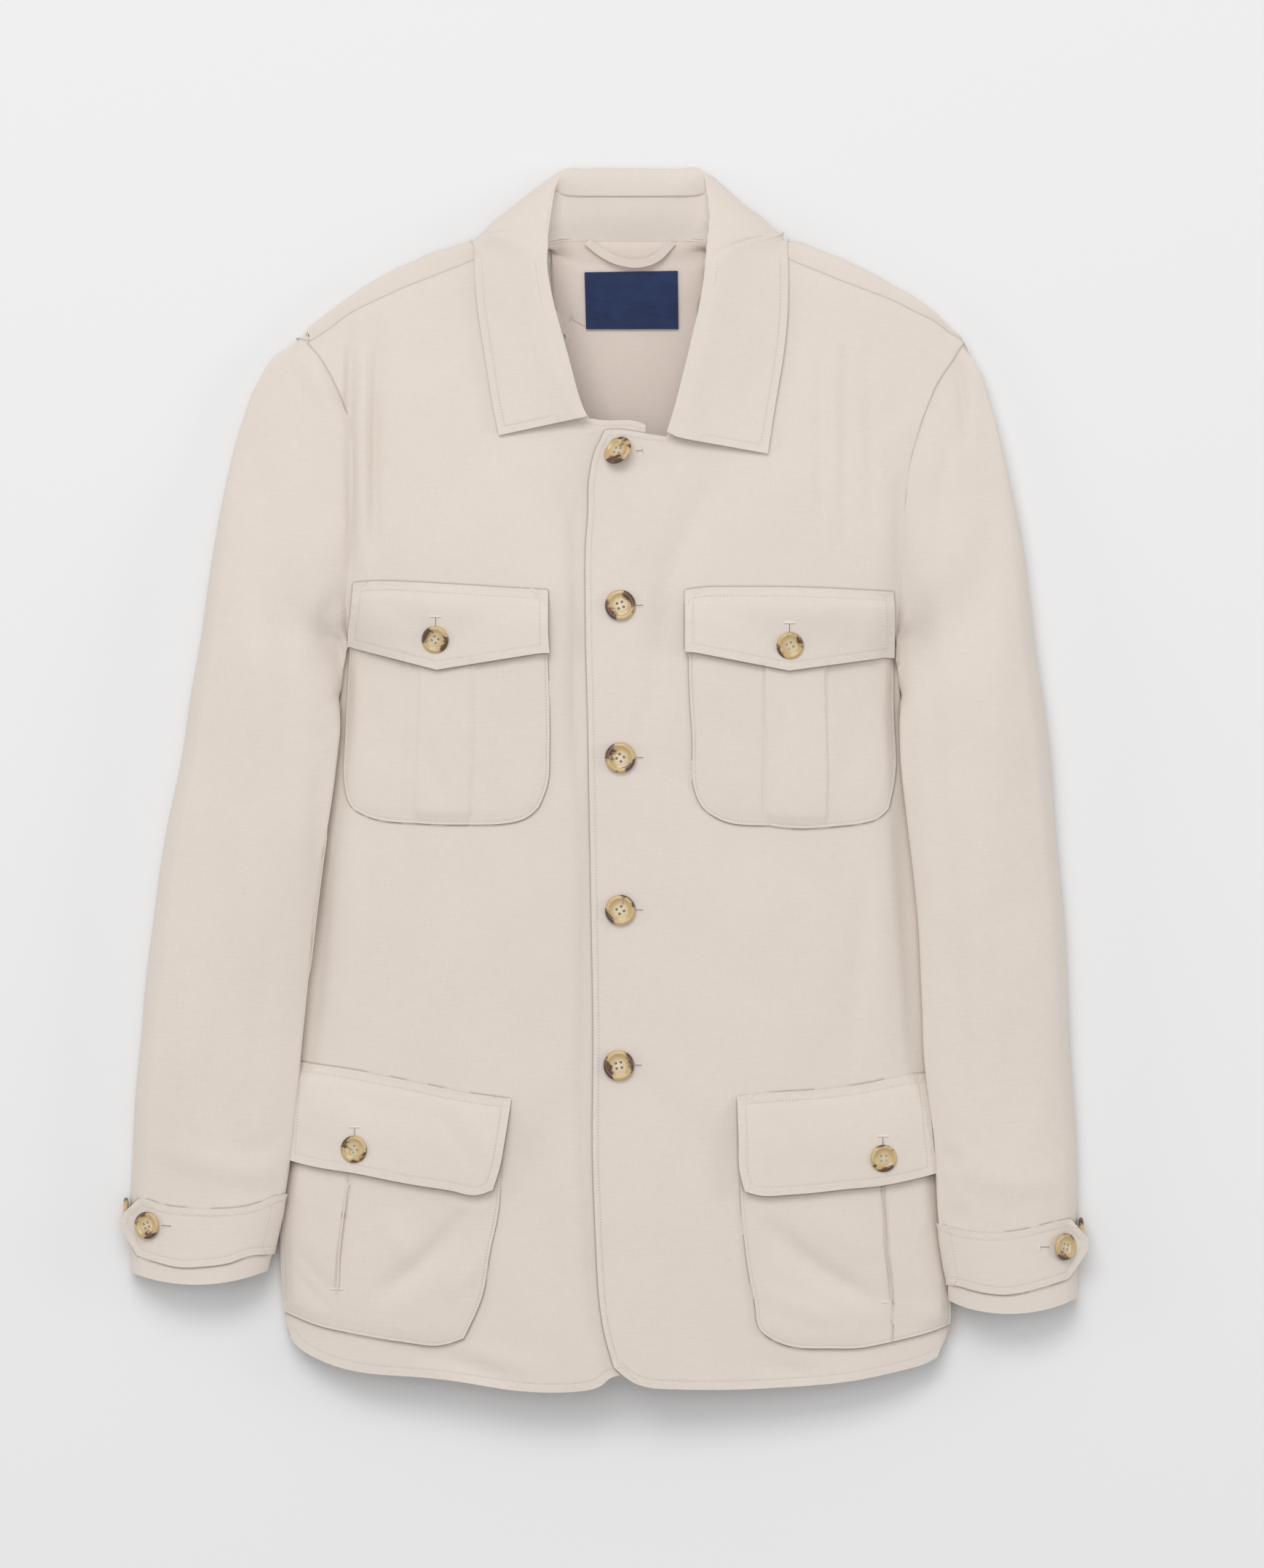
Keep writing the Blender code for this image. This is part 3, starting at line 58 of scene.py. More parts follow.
# Pieces of cloth: node, rounds of subdivision, wall kept, thickness, cut width and length
PANELS = (
    ("front_right", 3, "up", PANEL, 262, 800),
    ("front_left", 3, "up", PANEL, 262, 800),
    ("back", 2, "down", PANEL, 520, 800),
    ("sleeve_right", 3, "wide", PANEL, 330, 690),
    ("sleeve_left", 3, "wide", PANEL, 330, 690),
    ("collar_stand", 3, "up", PANEL, 240, 30),
    ("collar_fall", 3, "up", COLLAR, 560, 130),
)
POCKETS = (
    ("chest_pocket_right", 3, "up", PANEL, 138, 150),
    ("chest_pocket_left", 3, "up", PANEL, 142, 150),
    ("hip_pocket_right", 3, "up", PANEL, 150, 150),
    ("hip_pocket_left", 3, "up", PANEL, 142, 150),
)
FLAPS = (
    ("chest_flap_right", 3, "up", PANEL, 138, 62),
    ("chest_flap_left", 3, "up", PANEL, 142, 60),
    ("hip_flap_right", 3, "up", PANEL, 146, 78),
    ("hip_flap_left", 3, "up", PANEL, 134, 80),
)
SMALL_CLOTH = (
    ("cuff_tab_right", 3, "up", PANEL, 142, 46),
    ("cuff_tab_left", 3, "up", PANEL, 142, 46),
    ("hanger_loop", 3, "up", PANEL, 66, 10),
)

# Soft folds of the cloth: three points of the path, half width, height (below 0 for a trough)
FOLDS = (
    # Right half of the chest
    (-165.5, 302, -166, 220, -165.5, 129, 3.6, -3.4),
    (-157, 302, -157, 220, -157, 135, 4.0, 1.6),
    (-149, 305, -149, 225, -150, 129, 3.8, -2.4),
    (-134, 300, -133, 225, -135, 140, 9.0, 0.8),
    (-104, 305, -106, 230, -100, 149, 7.0, -0.7),
    (-30, 196, -22, 162, -16, 136, 7.0, -1.6),
    (-18, 150, -20, 69, -16, -10, 8.0, -1.7),
    (-54, 202, -37, 162, -20, 120, 6.0, -1.1),
    (-13, 10, -12, -90, -10, -190, 6.0, -0.9),
    (-19, 205, -19, 69, -18, -60, 4.5, -1.2),
    (-17, -30, -15, -160, -13, -300, 4.5, -0.9),
    (-26, 190, -30, 100, -26, 20, 12.0, 0.6),
    (-9, -120, -9, -230, -6, -330, 3.0, 0.4),
    # Left half of the chest
    (82, 208, 50, 149, 26, 62, 9.0, -1.8),
    (6, 205, 20, 176, 24, 140, 9.0, 1.1),
    (42, 128, 35, 69, 20, 4, 9.0, -1.2),
    (142.6, 295, 142, 230, 141, 149, 5.0, -1.0),
    (157, 302, 157, 240, 158, 152, 4.0, -0.9),
    (150, 300, 150, 240, 150, 160, 4.0, 0.6),
    (174, 300, 174, 230, 175, 140, 4.5, -0.8),
    (192, 200, 193, 160, 193, 122, 5.0, -1.6),
    # Below the chest pockets
    (192, -4, 197, -90, 202, -190, 8.0, -2.0),
    (172, -8, 178, -90, 184, -180, 8.0, 0.9),
    (176, -40, 167, -117, 162, -190, 7.0, -1.0),
    (126, -62, 140, -112, 138, -180, 12.0, 0.6),
    (14, 20, 56, 0, 112, -56, 14.0, -0.7),
    (16, -86, 60, -104, 118, -156, 16.0, -0.8),
    (14, -186, 44, -214, 80, -256, 12.0, -0.8),
    (-185, 20, -186, -77, -190, -176, 7.0, -2.0),
    (-163, -8, -165, -90, -173, -174, 8.0, 1.0),
    (-124, -24, -130, -104, -149, -184, 9.0, -1.0),
    (-96, -50, -104, -120, -112, -180, 10.0, 0.6),
    (-16, -88, -56, -112, -112, -170, 16.0, -0.7),
    (-14, -190, -34, -222, -54, -266, 12.0, -0.8),
    (-50, -230, -40, -290, -46, -350, 9.0, -0.9),
    (-28, -240, -20, -300, -24, -370, 10.0, 0.6),
    (40, -270, 46, -320, 62, -376, 10.0, -0.9),
    (62, -250, 72, -320, 84, -380, 8.0, 0.6),
    # Hip pockets
    (-92, -278, -110, -307, -150, -338, 8.0, -2.6),
    (-142, -284, -132, -300, -120, -322, 8.0, 0.9),
    (-72, -292, -84, -316, -104, -338, 7.0, 0.8),
    (-196, -300, -188, -318, -172, -340, 4.0, -0.7),
    (-198, -318, -190, -330, -178, -346, 3.5, -0.6),
    (-194, -266, -198, -300, -200, -340, 5.0, -0.7),
    (104, -284, 142, -320, 188, -341, 8.0, -2.6),
    (134, -278, 156, -296, 180, -312, 9.0, 0.9),
    (100, -328, 128, -343, 158, -352, 7.0, 0.8),
    (200, -276, 206, -312, 208, -346, 6.0, -0.8),
    # Hip flaps
    (-112, -214, -98, -230, -86, -254, 6.0, -0.6),
    (-96, -210, -84, -226, -76, -248, 5.0, 0.4),
    (-180, -196, -150, -212, -120, -220, 8.0, -0.4),
    (104, -214, 120, -232, 128, -256, 7.0, -0.4),
    # Chest pockets
    (-118, 28, -112, 8, -104, -14, 7.0, -0.5),
    (-150, 60, -146, 30, -140, 4, 8.0, -0.5),
    (-60, 60, -56, 30, -58, -4, 8.0, -0.5),
    (74, 60, 82, 28, 92, 2, 9.0, -0.5),
    (168, 56, 164, 26, 158, -4, 9.0, -0.5),
    (-150, 118, -130, 106, -116, 98, 6.0, -0.4),
    (70, 116, 88, 104, 104, 98, 6.0, -0.4),
    # Hem
    (-124, -372, -92, -380, -56, -392, 6.0, -1.4),
    (-90, -372, -64, -378, -36, -386, 6.0, 0.8),
    (96, -376, 120, -384, 150, -386, 5.0, -0.8),
    # Right sleeve
    (-192, 284, -182, 262, -172, 238, 3.0, -0.9),
    (-205, 274, -196, 256, -186, 236, 3.0, -0.9),
    (-198, 280, -189, 260, -179, 240, 3.0, 0.7),
    (-232, 232, -214, 150, -206, 70, 12.0, -1.0),
    (-246, 150, -230, 90, -224, 20, 13.0, 0.8),
    (-205, 110, -206, 30, -206, -40, 8.0, -0.9),
    (-262, 40, -254, -30, -256, -120, 14.0, -0.8),
    (-238, -20, -226, -90, -222, -170, 11.0, 0.9),
    (-214, -90, -224, -150, -228, -216, 8.0, -0.9),
    (-276, -120, -272, -190, -280, -250, 11.0, 0.7),
    (-250, -150, -254, -200, -246, -240, 10.0, -0.9),
    (-300, -238, -257, -249, -212, -256, 8.0, 1.1),
    (-206, -228, -222, -240, -244, -240, 5.0, -0.8),
    (-210, -262, -226, -268, -250, -266, 4.5, -0.8),
    # Left sleeve
    (231, 280, 234.5, 256, 237, 216, 3.0, -1.6),
    (238, 282, 243, 258, 245, 218, 5.0, 0.9),
    (249, 262, 262, 196, 272, 116, 9.0, 1.0),
    (226, 230, 220, 180, 216, 130, 6.0, -0.8),
    (209, 120, 219, -10, 229, -130, 8.0, -1.0),
    (252, 200, 248, 120, 244, 60, 10.0, -0.9),
    (262, 130, 256, 60, 254, -20, 12.0, 0.8),
    (280, 40, 272, -30, 276, -120, 13.0, -0.9),
    (252, -20, 246, -90, 244, -170, 11.0, 0.9),
    (220, -86, 230, -150, 236, -218, 8.0, -0.9),
    (292, -120, 290, -190, 296, -246, 10.0, 0.7),
    (262, -150, 268, -204, 262, -250, 10.0, -0.9),
    (228, -250, 268, -263, 304, -257, 8.0, 1.0),
    (218, -240, 226, -246, 236, -248, 3.0, -1.2),
    (222, -280, 230, -284, 240, -284, 3.0, -1.0),
    # Collar
    (-98, 330, -60, 290, -44, 240, 14.0, -0.7),
    (130, 322, 112, 280, 96, 230, 12.0, -0.7),
    (-76, 320, -66, 280, -56, 240, 9.0, 0.5),
    (100, 320, 92, 280, 80, 234, 9.0, 0.5),
)
# Sharp folds: two points of the path, half width, height
CREASES = (
    (-165, -262, -169, -284, 1.5, -1.3),
    (-169, -284, -174, -331, 1.5, -1.5),
    (-174, -333, -178, -357, 0.9, -0.5),
    (184.3, -266, 187.3, -300, 1.5, -1.3),
    (187.3, -300, 190.4, -339, 1.5, -1.5),
    (190.4, -342, 192.8, -366, 0.9, -0.3),
    (-138, -370, -109, -376, 1.4, -0.6),
    (-116, -373, -116, -386, 1.3, -0.6),
    (127.6, -377, 127.6, -390, 1.3, -0.6),
    (-8.5, 190, -8.5, -370, 1.6, -0.25),
    (-129.6, 84, -129.6, -26.5, 0.9, -0.95),
    (-86.4, 78, -86.6, -27.5, 0.9, -0.95),
    (-126.4, 84, -126.6, -26.5, 0.9, 0.25),
    (-89.6, 78, -89.6, -27.5, 0.9, 0.25),
    (104.6, 76, 103.6, -28, 0.9, -0.95),
    (146.2, 78, 147.4, -30, 0.9, -0.95),
    (107.8, 76, 106.6, -28, 0.9, 0.25),
    (143.2, 78, 144.4, -30, 0.9, 0.25),
)

FOLD_DEPTH = 1.5
FOLD_REACH = 160
# Unevenness all over the cloth: height, length of the waves, seed
RIPPLES = ((0.45, 90, 3), (0.22, 34, 8), (0.07, 14, 5))
# Facings between which folds come in on the upper side, and pieces that have none
UPPER_SIDE = (0.05, 0.5)
WITHOUT_FOLDS = ("back", "hanger_loop", "collar_stand")
COLLAR_FOLD_SHARE = 0.5

# The front edge that lies over the other, and how far it and its corner stand off: height, reach
OVER_EDGE = (
    (0, 229), (-4, 212), (-10, 201), (-13, 144), (-13, 96), (-12, 49), (-10, -54), (-7, -156),
    (-7, -243), (-4, -310), (-1, -354), (1, -372), (7, -382),
)
OVER_EDGE_LIFT = (0.9, 9)
OVER_CORNER_LIFT = (1.4, 13)
OVER_EDGE_REACH = 10

# Small shifts on the plan that bring the outline to where it lies: place, shift
NUDGES = (
    (-88, 349, 0, 6.0), (-109, 344, 0, 3.0), (-135, 335, 0, 1.0), (-152, 326, 0, 0.5),
    (127, 349, 0, 5.7), (148, 343, 0, 1.2), (169, 334, 0, 0.5),
    (234, 286, 1.5, 4.5), (220, 300, 0.5, 1.5), (243, 265, 1.2, 1.5),
    (-216, 273, -1.5, 3.3), (-205, 285, -1.0, 1.5), (-224, 255, -1.0, 0.5),
    (-25, 398, 0, 2.4), (0, 399, 0, 2.0), (20, 399, 0, 2.0), (41, 399, 0, 1.5), (62, 397, 1.0, 3.4),
    (116, 352, -1.0, -4.0), (118, 338, 0, -1.0), (-83, 352, 1.0, -3.0), (-82, 338, 0, -1.0),
    (-84, 337, 0, 0), (-110, 328, 0, 0), (127, 335, 0, 0), (148, 329, 0, 0), (187, 314, 0, 0),
    (222, 288, 0, 0), (-195, 282, 0, 0), (-205, 268, 0, 0), (-212, 250, 0, 0), (232, 262, 0, 0),
    (-20, 378, 0, 0), (20, 380, 0, 0), (60, 378, 0, 0),
)
COLLAR_NUDGES = [row for row in NUDGES if row[1] > 370 or row[3] < 0]
BODY_NUDGES = [row for row in NUDGES if row not in COLLAR_NUDGES]
SLEEVE_NUDGES = BODY_NUDGES + [
    (-172, 82, 3.5, 0), (-172, 68, 3.2, 0), (-198, 78, 0, 0), (-174, 46, 0, 0), (-178, 106, 0, 0),
    (197, 84, -3.5, 0), (196, 70, -3.2, 0), (223, 78, 0, 0), (196, 46, 0, 0), (203, 108, 0, 0),
]
BODY_NUDGES += [(224, -347, 2.5, 0), (221, -364, 0, 0)]
# The over front's top edge and corner, and the under front's end beside them
OVER_NUDGES = BODY_NUDGES + [
    (-1, 228, 1.6, 0.8), (7, 232, 0, -2.0), (16, 232.5, 0, -3.4), (26, 230.7, 0, -3.2),
    (40, 227.3, 0, -2.6),
    (52, 224, 0, -2.0), (8, 216, 0, 0), (20, 215, 0, 0), (34, 212, 0, 0), (48, 210, 0, 0),
]
UNDER_NUDGES = BODY_NUDGES + [(7, 237, 0, -1.5), (16, 236, 0, -0.8), (25, 232.5, 0.5, 1.2)]
# Shift of the over front's edge along its length: height on the plan, shift
EDGE_SHIFTS = ((-240, 0), (-110, 1.2), (-50, 1.8), (60, 1.9), (156, 1.3), (200, 1.5), (216, 0))
# Lower edges of the chest flaps: corner, point, corner
FLAP_EDGES = {
    "chest_flap_right": ((-168.9, 87.9), (-108.6, 72.2), (-35.0, 83.9)),
    "chest_flap_left": ((53.4, 84.6), (120.8, 71.6), (190.5, 81.3)),
}
FLAP_TOP = 114.0
FLAP_LOW = 96.0
HIP_NUDGES = [
    (-188, -186, -9.0, 0), (-196, -205, -8.0, 0), (-199, -225, -7.0, 0), (-201, -245, -6.0, 0),
    (-200, -265, -6.0, 0), (-200, -285, -6.0, 0), (-201, -305, -6.0, 0), (-202, -325, -5.0, 0),
    (-203, -345, -4.0, 0), (209, -193, 4.0, 0), (211, -215, 3.0, 0), (213, -245, 3.0, 0),
    (214, -270, 4.0, 0), (215, -300, 5.0, 0), (217, -330, 6.0, 0), (219, -352, 6.0, 0),
    (185, -270, -3.0, 0), (188, -305, -4.0, 0), (190.5, -339, -4.5, 0), (192.5, -364, -6.5, 0),
    (-168, -190, 0, 0), (-170, -240, 0, 0), (-172, -285, 0, 0), (-175, -340, 0, 0),
    (188, -200, 0, 0), (188, -240, 0, 0),
]
NUDGE_RADIUS = 8.0
HIP_NUDGE_RADIUS = 16.0
NUDGE_REST = 0.25

# Buttonholes: inner and outer end of the slit, length of the bar tack across its outer end
BUTTONHOLES = (
    (-109, 100.8, -109, 106.8, 6.6), (121, 96.8, 121, 102.8, 6.6),
    (-162, -231.0, -162, -225.5, 6.6), (182, -237.0, 182, -231.5, 6.6),
    (21.5, 214.5, 26.5, 215, 4.0), (21.8, 114, 25.6, 114, 0), (21.8, 15, 25.6, 15, 0),
    (21.8, -84, 25.6, -84, 0), (20.8, -185, 24.6, -185, 0),
    (-287.5, -290, -281, -290.5, 4.0), (290.5, -304, 284, -304, 4.0),
)
# Bar tacks at the ends of the hip pockets' pleats
PLEAT_TACKS = ((-178, -331.5, -170, -331.5), (182, -340, 190, -340))

# Colours of the finishes, as shown
LINEN = (0.733, 0.659, 0.593)
# Inside linen, painted lighter than the outer linen to offset the shade inside the neck opening
INSIDE_PAINTED_LIGHTER = (0.790, 0.688, 0.616)
THREAD = (0.860, 0.800, 0.730)
# Painted shade: dark dots standing for the needle holes
NEEDLE_HOLE_SHADE = (0.430, 0.340, 0.280)
# Painted shade in the buttonhole slits and in the buttons' holes
SLIT_SHADE = (0.240, 0.170, 0.130)
HORN_PALE = (0.700, 0.600, 0.430)
HORN_AMBER = (0.560, 0.400, 0.190)
HORN_DARK = (0.110, 0.055, 0.030)
NAVY = (0.010, 0.024, 0.085)

# Stitching: pitch, length and radius of a stitch
STITCH_PITCH = 2.1
STITCH_LENGTH = 1.45
STITCH_RADIUS = 0.20
HOLE_RADIUS = 0.22
ACROSS = math.radians(90)
SLIT_SIDE = 0.85

# Share of the thickness that is left where two pieces are sewn together, and how wide it tapers
SEAM_SHARE = 0.45
SEAM_TAPER = 6.0
# Steps along an edge where it is marked, and the mark that stands for far away
EDGE_STEP = 0.7
FAR = 20.0
# Widths over which a groove (its height and its painted shade) and the painted shadow along seams and
# overlying edges fall off
GROOVE_WIDTH = 0.85
SEAM_WIDTH = 0.8
EULER = 2.718

# Open edges stay sharp where they turn by more than this many degrees
SHARP_TURNS = {"chest_flap": 12, "front": 30}
OTHER_TURNS = 50

# How far the bags' bottom edges and the flaps' free edges stand off
BAG_LIFT = {"chest": 0.5, "hip": 1.3}
FLAP_LIFT = 1.5
BAG_REST = 0.1
FLAP_REST = 0.35
FLAP_REACH = 12.0

# Button shape: share of the radius, share of the height
BUTTON_HEIGHT = 3.2
BUTTON_FACE = (
    (0.0, 0.60), (0.20, 0.61), (0.44, 0.64), (0.60, 0.70), (0.68, 0.84), (0.74, 0.97), (0.80, 1.0),
    (0.88, 0.97), (0.95, 0.86), (0.99, 0.70), (1.0, 0.55), (0.985, 0.38), (0.93, 0.18), (0.82, 0.05),
    (0.66, 0.0), (0.30, 0.0), (0.0, 0.0),
)
BUTTON_STEPS = 48
BUTTON_HOLES = 0.17
BUTTON_HOLE_RADIUS = 0.085
# Heights in the button of its thread and of the painted shade in its holes
THREAD_LEVEL = 0.62
SHADE_LEVELS = (0.22, 0.5)
FRONT_BUTTON_RISE = 3.0
SHARP_BUTTON = math.radians(55)
SHARP_CLOTH = math.radians(50)
SIDES = ("right", "left")


def eased(start, end, at):
    share = np.clip((np.asarray(at, float) - start) / (end - start), 0, 1)
    return share * share * (3 - 2 * share)


def plan(points):
    """Metres of the frame to millimetres of the plan."""
    return np.asarray(points)[:, :2] / MM - PLAN_SHIFT


def placed(name, data):
    """A new object of the scene."""
    made = bpy.data.objects.new(name, data)
    bpy.context.scene.collection.objects.link(made)
    return made


def tree_at(places):
    tree = KDTree(len(places))
    for i, point in enumerate(places):
        tree.insert(point, i)
    tree.balance()
    return tree


def distance_to(places, points):
    """Distance from points to the nearest of some places, in millimetres."""
    tree = tree_at(places)
    return np.array([tree.find(point)[2] for point in points]) / MM


def away_from(at, path):
    """Distance from points to a path, and the share of its length where each is nearest."""
    best = np.full(len(at), np.inf)
    share = np.zeros(len(at))
    lengths = np.linalg.norm(np.diff(path, axis=0), axis=1)
    starts = np.concatenate([[0], np.cumsum(lengths)])
    for i, length in enumerate(lengths):
        step = (path[i + 1] - path[i]) / length
        along = np.clip((at - path[i]) @ step, 0, length)
        distance = np.linalg.norm(at - path[i] - along[:, None] * step, axis=1)
        nearer = distance < best
        best = np.where(nearer, distance, best)
        share = np.where(nearer, (starts[i] + along) / starts[-1], share)
    return best, share


def bowed(row, steps=10):
    """A smooth path through three points."""
    start, middle, end = (np.array(row[i : i + 2], float) for i in (0, 2, 4))
    t = np.linspace(0, 1, steps + 1)[:, None]
    pull = 2 * middle - (start + end) / 2
    return (1 - t) ** 2 * start + 2 * t * (1 - t) * pull + t * t * end


def ripple(at, length, seed):
    """Smooth unevenness between -1 and 1, from a few crossing waves."""
    draw = np.random.default_rng(seed)
    total = np.zeros(len(at))
    for _ in range(7):
        angle = draw.uniform(0, math.pi)
        way = np.array((math.cos(angle), 0.45 * math.sin(angle)))
        wave = at @ way * 2 * math.pi / (length * draw.uniform(0.7, 1.5))
        total += np.sin(wave + draw.uniform(0, 6.3))
    return total / 4


def drape(at):
    """Rise and fall of the cloth's upper side at points of the plan."""
    rise = sum(height * ripple(at, length, seed) for height, length, seed in RIPPLES)
    for row in FOLDS:
        half_width, height = row[6:]
        near = np.all(abs(at - (row[2], row[3])) < FOLD_REACH, axis=1)
        distance, share = away_from(at[near], bowed(row))
        along = np.sin(math.pi * np.clip(share, 0.001, 0.999)) ** 0.8
        rise[near] += FOLD_DEPTH * height * along * np.exp(-((distance / half_width) ** 2))
    for x0, y0, x1, y1, half_width, height in CREASES:
        distance, _ = away_from(at, np.array(((x0, y0), (x1, y1)), float))
        rise += height * np.exp(-((distance / half_width) ** 2))
    return rise


def nudged(sheet, table, radius=NUDGE_RADIUS):
    """Moves a sheet on the plan by the nudges near each of its points."""
    points = points_of(sheet)
    apart = plan(points)[:, None, :] - table[None, :, :2]
    near = np.exp(-np.sum(apart**2, axis=2) / radius**2)
    shift = near @ table[:, 2:] / (near.sum(axis=1) + NUDGE_REST)[:, None]
    points[:, :2] += shift * MM
    set_points(sheet, points)


def straightened(sheet, edge):
    """Moves a flap's lower edge onto straight lines, less and less towards its top."""
    points = points_of(sheet)
    at = plan(points)
    (left, _), _, (right, _) = edge
    loop = plan(edge_loop(sheet))
    low = loop[(loop[:, 1] < FLAP_LOW) & (loop[:, 0] > left + 2) & (loop[:, 0] < right - 2)]
    low = low[np.argsort(low[:, 0])]
    bottom = np.interp(at[:, 0], low[:, 0], low[:, 1])
    wanted = np.interp(at[:, 0], *zip(*edge))
    share = np.clip((FLAP_TOP - at[:, 1]) / (FLAP_TOP - bottom), 0, 1)
    ends = eased(0, 8, np.minimum(at[:, 0] - left, right - at[:, 0]))
    points[:, 1] += (wanted - bottom) * share * ends * MM
    set_points(sheet, points)


def islands(work):
    """Faces of a mesh in connected groups."""
    left = set(work.faces)
    groups = []
    while left:
        group = [left.pop()]
        for face in group:
            for edge in face.edges:
                for other in edge.link_faces:
                    if other in left:
                        left.remove(other)
                        group.append(other)
        groups.append(group)
    return sorted(groups, key=len)[-2:]


def one_wall(node, keep, wall):
    """One wall of a cloth node as a coarse open sheet of quads."""
    work = bmesh.new()
    work.from_mesh(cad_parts[node].data)
    bmesh.ops.remove_doubles(work, verts=work.verts, dist=0.01 * MM)
    across = [edge for edge in work.edges if abs(edge.calc_length() / MM - wall) < 0.02]
    rim = {face for edge in across for face in edge.link_faces}
    bmesh.ops.delete(work, geom=list(rim), context="FACES")
    bmesh.ops.join_triangles(
        work, faces=work.faces, angle_face_threshold=1.2, angle_shape_threshold=1.3
    )
    groups = islands(work)
    if keep == "wide":
        score = [sum(face.calc_area() for face in group) for group in groups]
    else:
        score = [np.mean([face.calc_center_median().z for face in group]) for group in groups]
    chosen = groups[int(np.argmin(score) if keep == "down" else np.argmax(score))]
    others = [face for face in work.faces if face not in set(chosen)]
    bmesh.ops.delete(work, geom=others, context="FACES")
    return work


def corner_turn(vert):
    """How far an open edge turns at a point, in degrees; 0 inside the sheet."""
    edges = [edge for edge in vert.link_edges if edge.is_boundary]
    if len(edges) != 2:
        return 0.0
    ways = [edge.other_vert(vert).co - vert.co for edge in edges]
    return 180 - math.degrees(ways[0].angle(ways[1], math.pi))


def fine_sheet(node, rounds, keep, wall, corrections=3):
    """The wall subdivided through its own points, as an object whose mesh is still open."""
    work = one_wall(node, keep, wall)
    turn = next((value for start, value in SHARP_TURNS.items() if node.startswith(start)), OTHER_TURNS)
    corners = np.array([corner_turn(vert) > turn for vert in work.verts], float)
    mesh = bpy.data.meshes.new(node + "_cloth")
    work.to_mesh(mesh)
    work.free()
    mesh.attributes.new("crease_vert", "FLOAT", "POINT").data.foreach_set("value", corners)
    sheet = placed(node + "_cloth", mesh)
    finer = sheet.modifiers.new("Finer", "SUBSURF")
    finer.boundary_smooth = "PRESERVE_CORNERS"
    finer.levels = finer.render_levels = 1
    wanted = points_of(sheet)
    cage = wanted.copy()
    for _ in range(corrections):
        bpy.context.view_layer.update()
        graph = bpy.context.evaluated_depsgraph_get()
        reached = points_of(sheet.evaluated_get(graph))[: len(wanted)]
        cage += wanted - reached
        set_points(sheet, cage)
    finer.levels = finer.render_levels = rounds
    settle_modifiers(sheet)
    return sheet


def settle_modifiers(piece):
    """Replaces a piece's mesh by what its modifiers make of it."""
    bpy.context.view_layer.update()
    graph = bpy.context.evaluated_depsgraph_get()
    made = bpy.data.meshes.new_from_object(piece.evaluated_get(graph))
    piece.modifiers.clear()
    old, piece.data = piece.data, made
    bpy.data.meshes.remove(old)
    made.name = piece.name


def points_of(piece):
    points = np.zeros(len(piece.data.vertices) * 3)
    piece.data.vertices.foreach_get("co", points)
    return points.reshape(-1, 3)


def set_points(piece, points):
    piece.data.vertices.foreach_set("co", np.asarray(points, float).ravel())
    piece.data.update()


def facings_of(piece):
    facings = np.zeros(len(piece.data.vertices) * 3)
    piece.data.vertices.foreach_get("normal", facings)
    return facings.reshape(-1, 3)


def tree_of(*pieces):
    corners, faces = [], []
    for piece in pieces:
        start = len(corners)
        corners.extend(vertex.co.copy() for vertex in piece.data.vertices)
        faces.extend([start + i for i in face.vertices] for face in piece.data.polygons)
    return BVHTree.FromPolygons(corners, faces)


def edge_loop(piece):
    """The longest open edge of a sheet, as an ordered closed loop of plan points."""
    work = bmesh.new()
    work.from_mesh(piece.data)
    open_edges = [edge for edge in work.edges if edge.is_boundary]
    left = set(open_edges)
    loops = []
    while left:
        edge = left.pop()
        start, vert = edge.verts
        loop = [start]
        while vert is not start:
            loop.append(vert)
            following = [e for e in vert.link_edges if e in left]
            if not following:
                break
            left.remove(following[0])
            vert = following[0].other_vert(vert)
        loops.append([corner.co.copy() for corner in loop])
    work.free()
    longest = max(loops, key=len)
    return np.array([point[:] for point in longest])


def evenly(path, step):
    """Points at even steps along a path."""
    path = np.asarray(path, float)
    length = np.concatenate([[0], np.cumsum(np.linalg.norm(np.diff(path, axis=0), axis=1))])
    at = np.linspace(0, length[-1], max(2, int(round(length[-1] / step)) + 1))
    return np.stack([np.interp(at, length, path[:, i]) for i in range(path.shape[1])], axis=-1)


def closed(loop, step):
    """Points at even steps round a closed loop."""
    return evenly(np.concatenate([loop, loop[:1]]), step)[:-1]


def outward(flat, reach):
    """Directions out of a closed loop of plan points, from the points within a reach."""
    along = np.roll(flat, -reach, axis=0) - np.roll(flat, reach, axis=0)
    out = np.stack([along[:, 1], -along[:, 0]], axis=-1)
    out = out / np.maximum(np.linalg.norm(out, axis=1), 1e-6)[:, None]
    x, y = flat.T
    area = np.sum(x * np.roll(y, -1) - np.roll(x, -1) * y)
    return -out if area < 0 else out


def settled(piece, tree, gap, sewn=None, lift=0.05):
    """Seats a sheet on what lies under it, gap millimetres over it; sewn edges lie close."""
    points = points_of(piece)
    rise = np.zeros(len(points))
    room = np.full(len(points), np.nan)
    for i, point in enumerate(points):
        place = tree.ray_cast(Vector((point[0], point[1], 0.5)), Vector((0, 0, -1)))[0]
        if place is not None:
            room[i] = (point[2] - place.z) / MM - gap
    known = ~np.isnan(room)
    wanted = np.maximum(room, 0.05)
    if sewn is not None:
        wanted = lift + (wanted - 0.05) * sewn
    rise[known] = (wanted - room)[known]
    points[:, 2] += rise * MM
    set_points(piece, points)


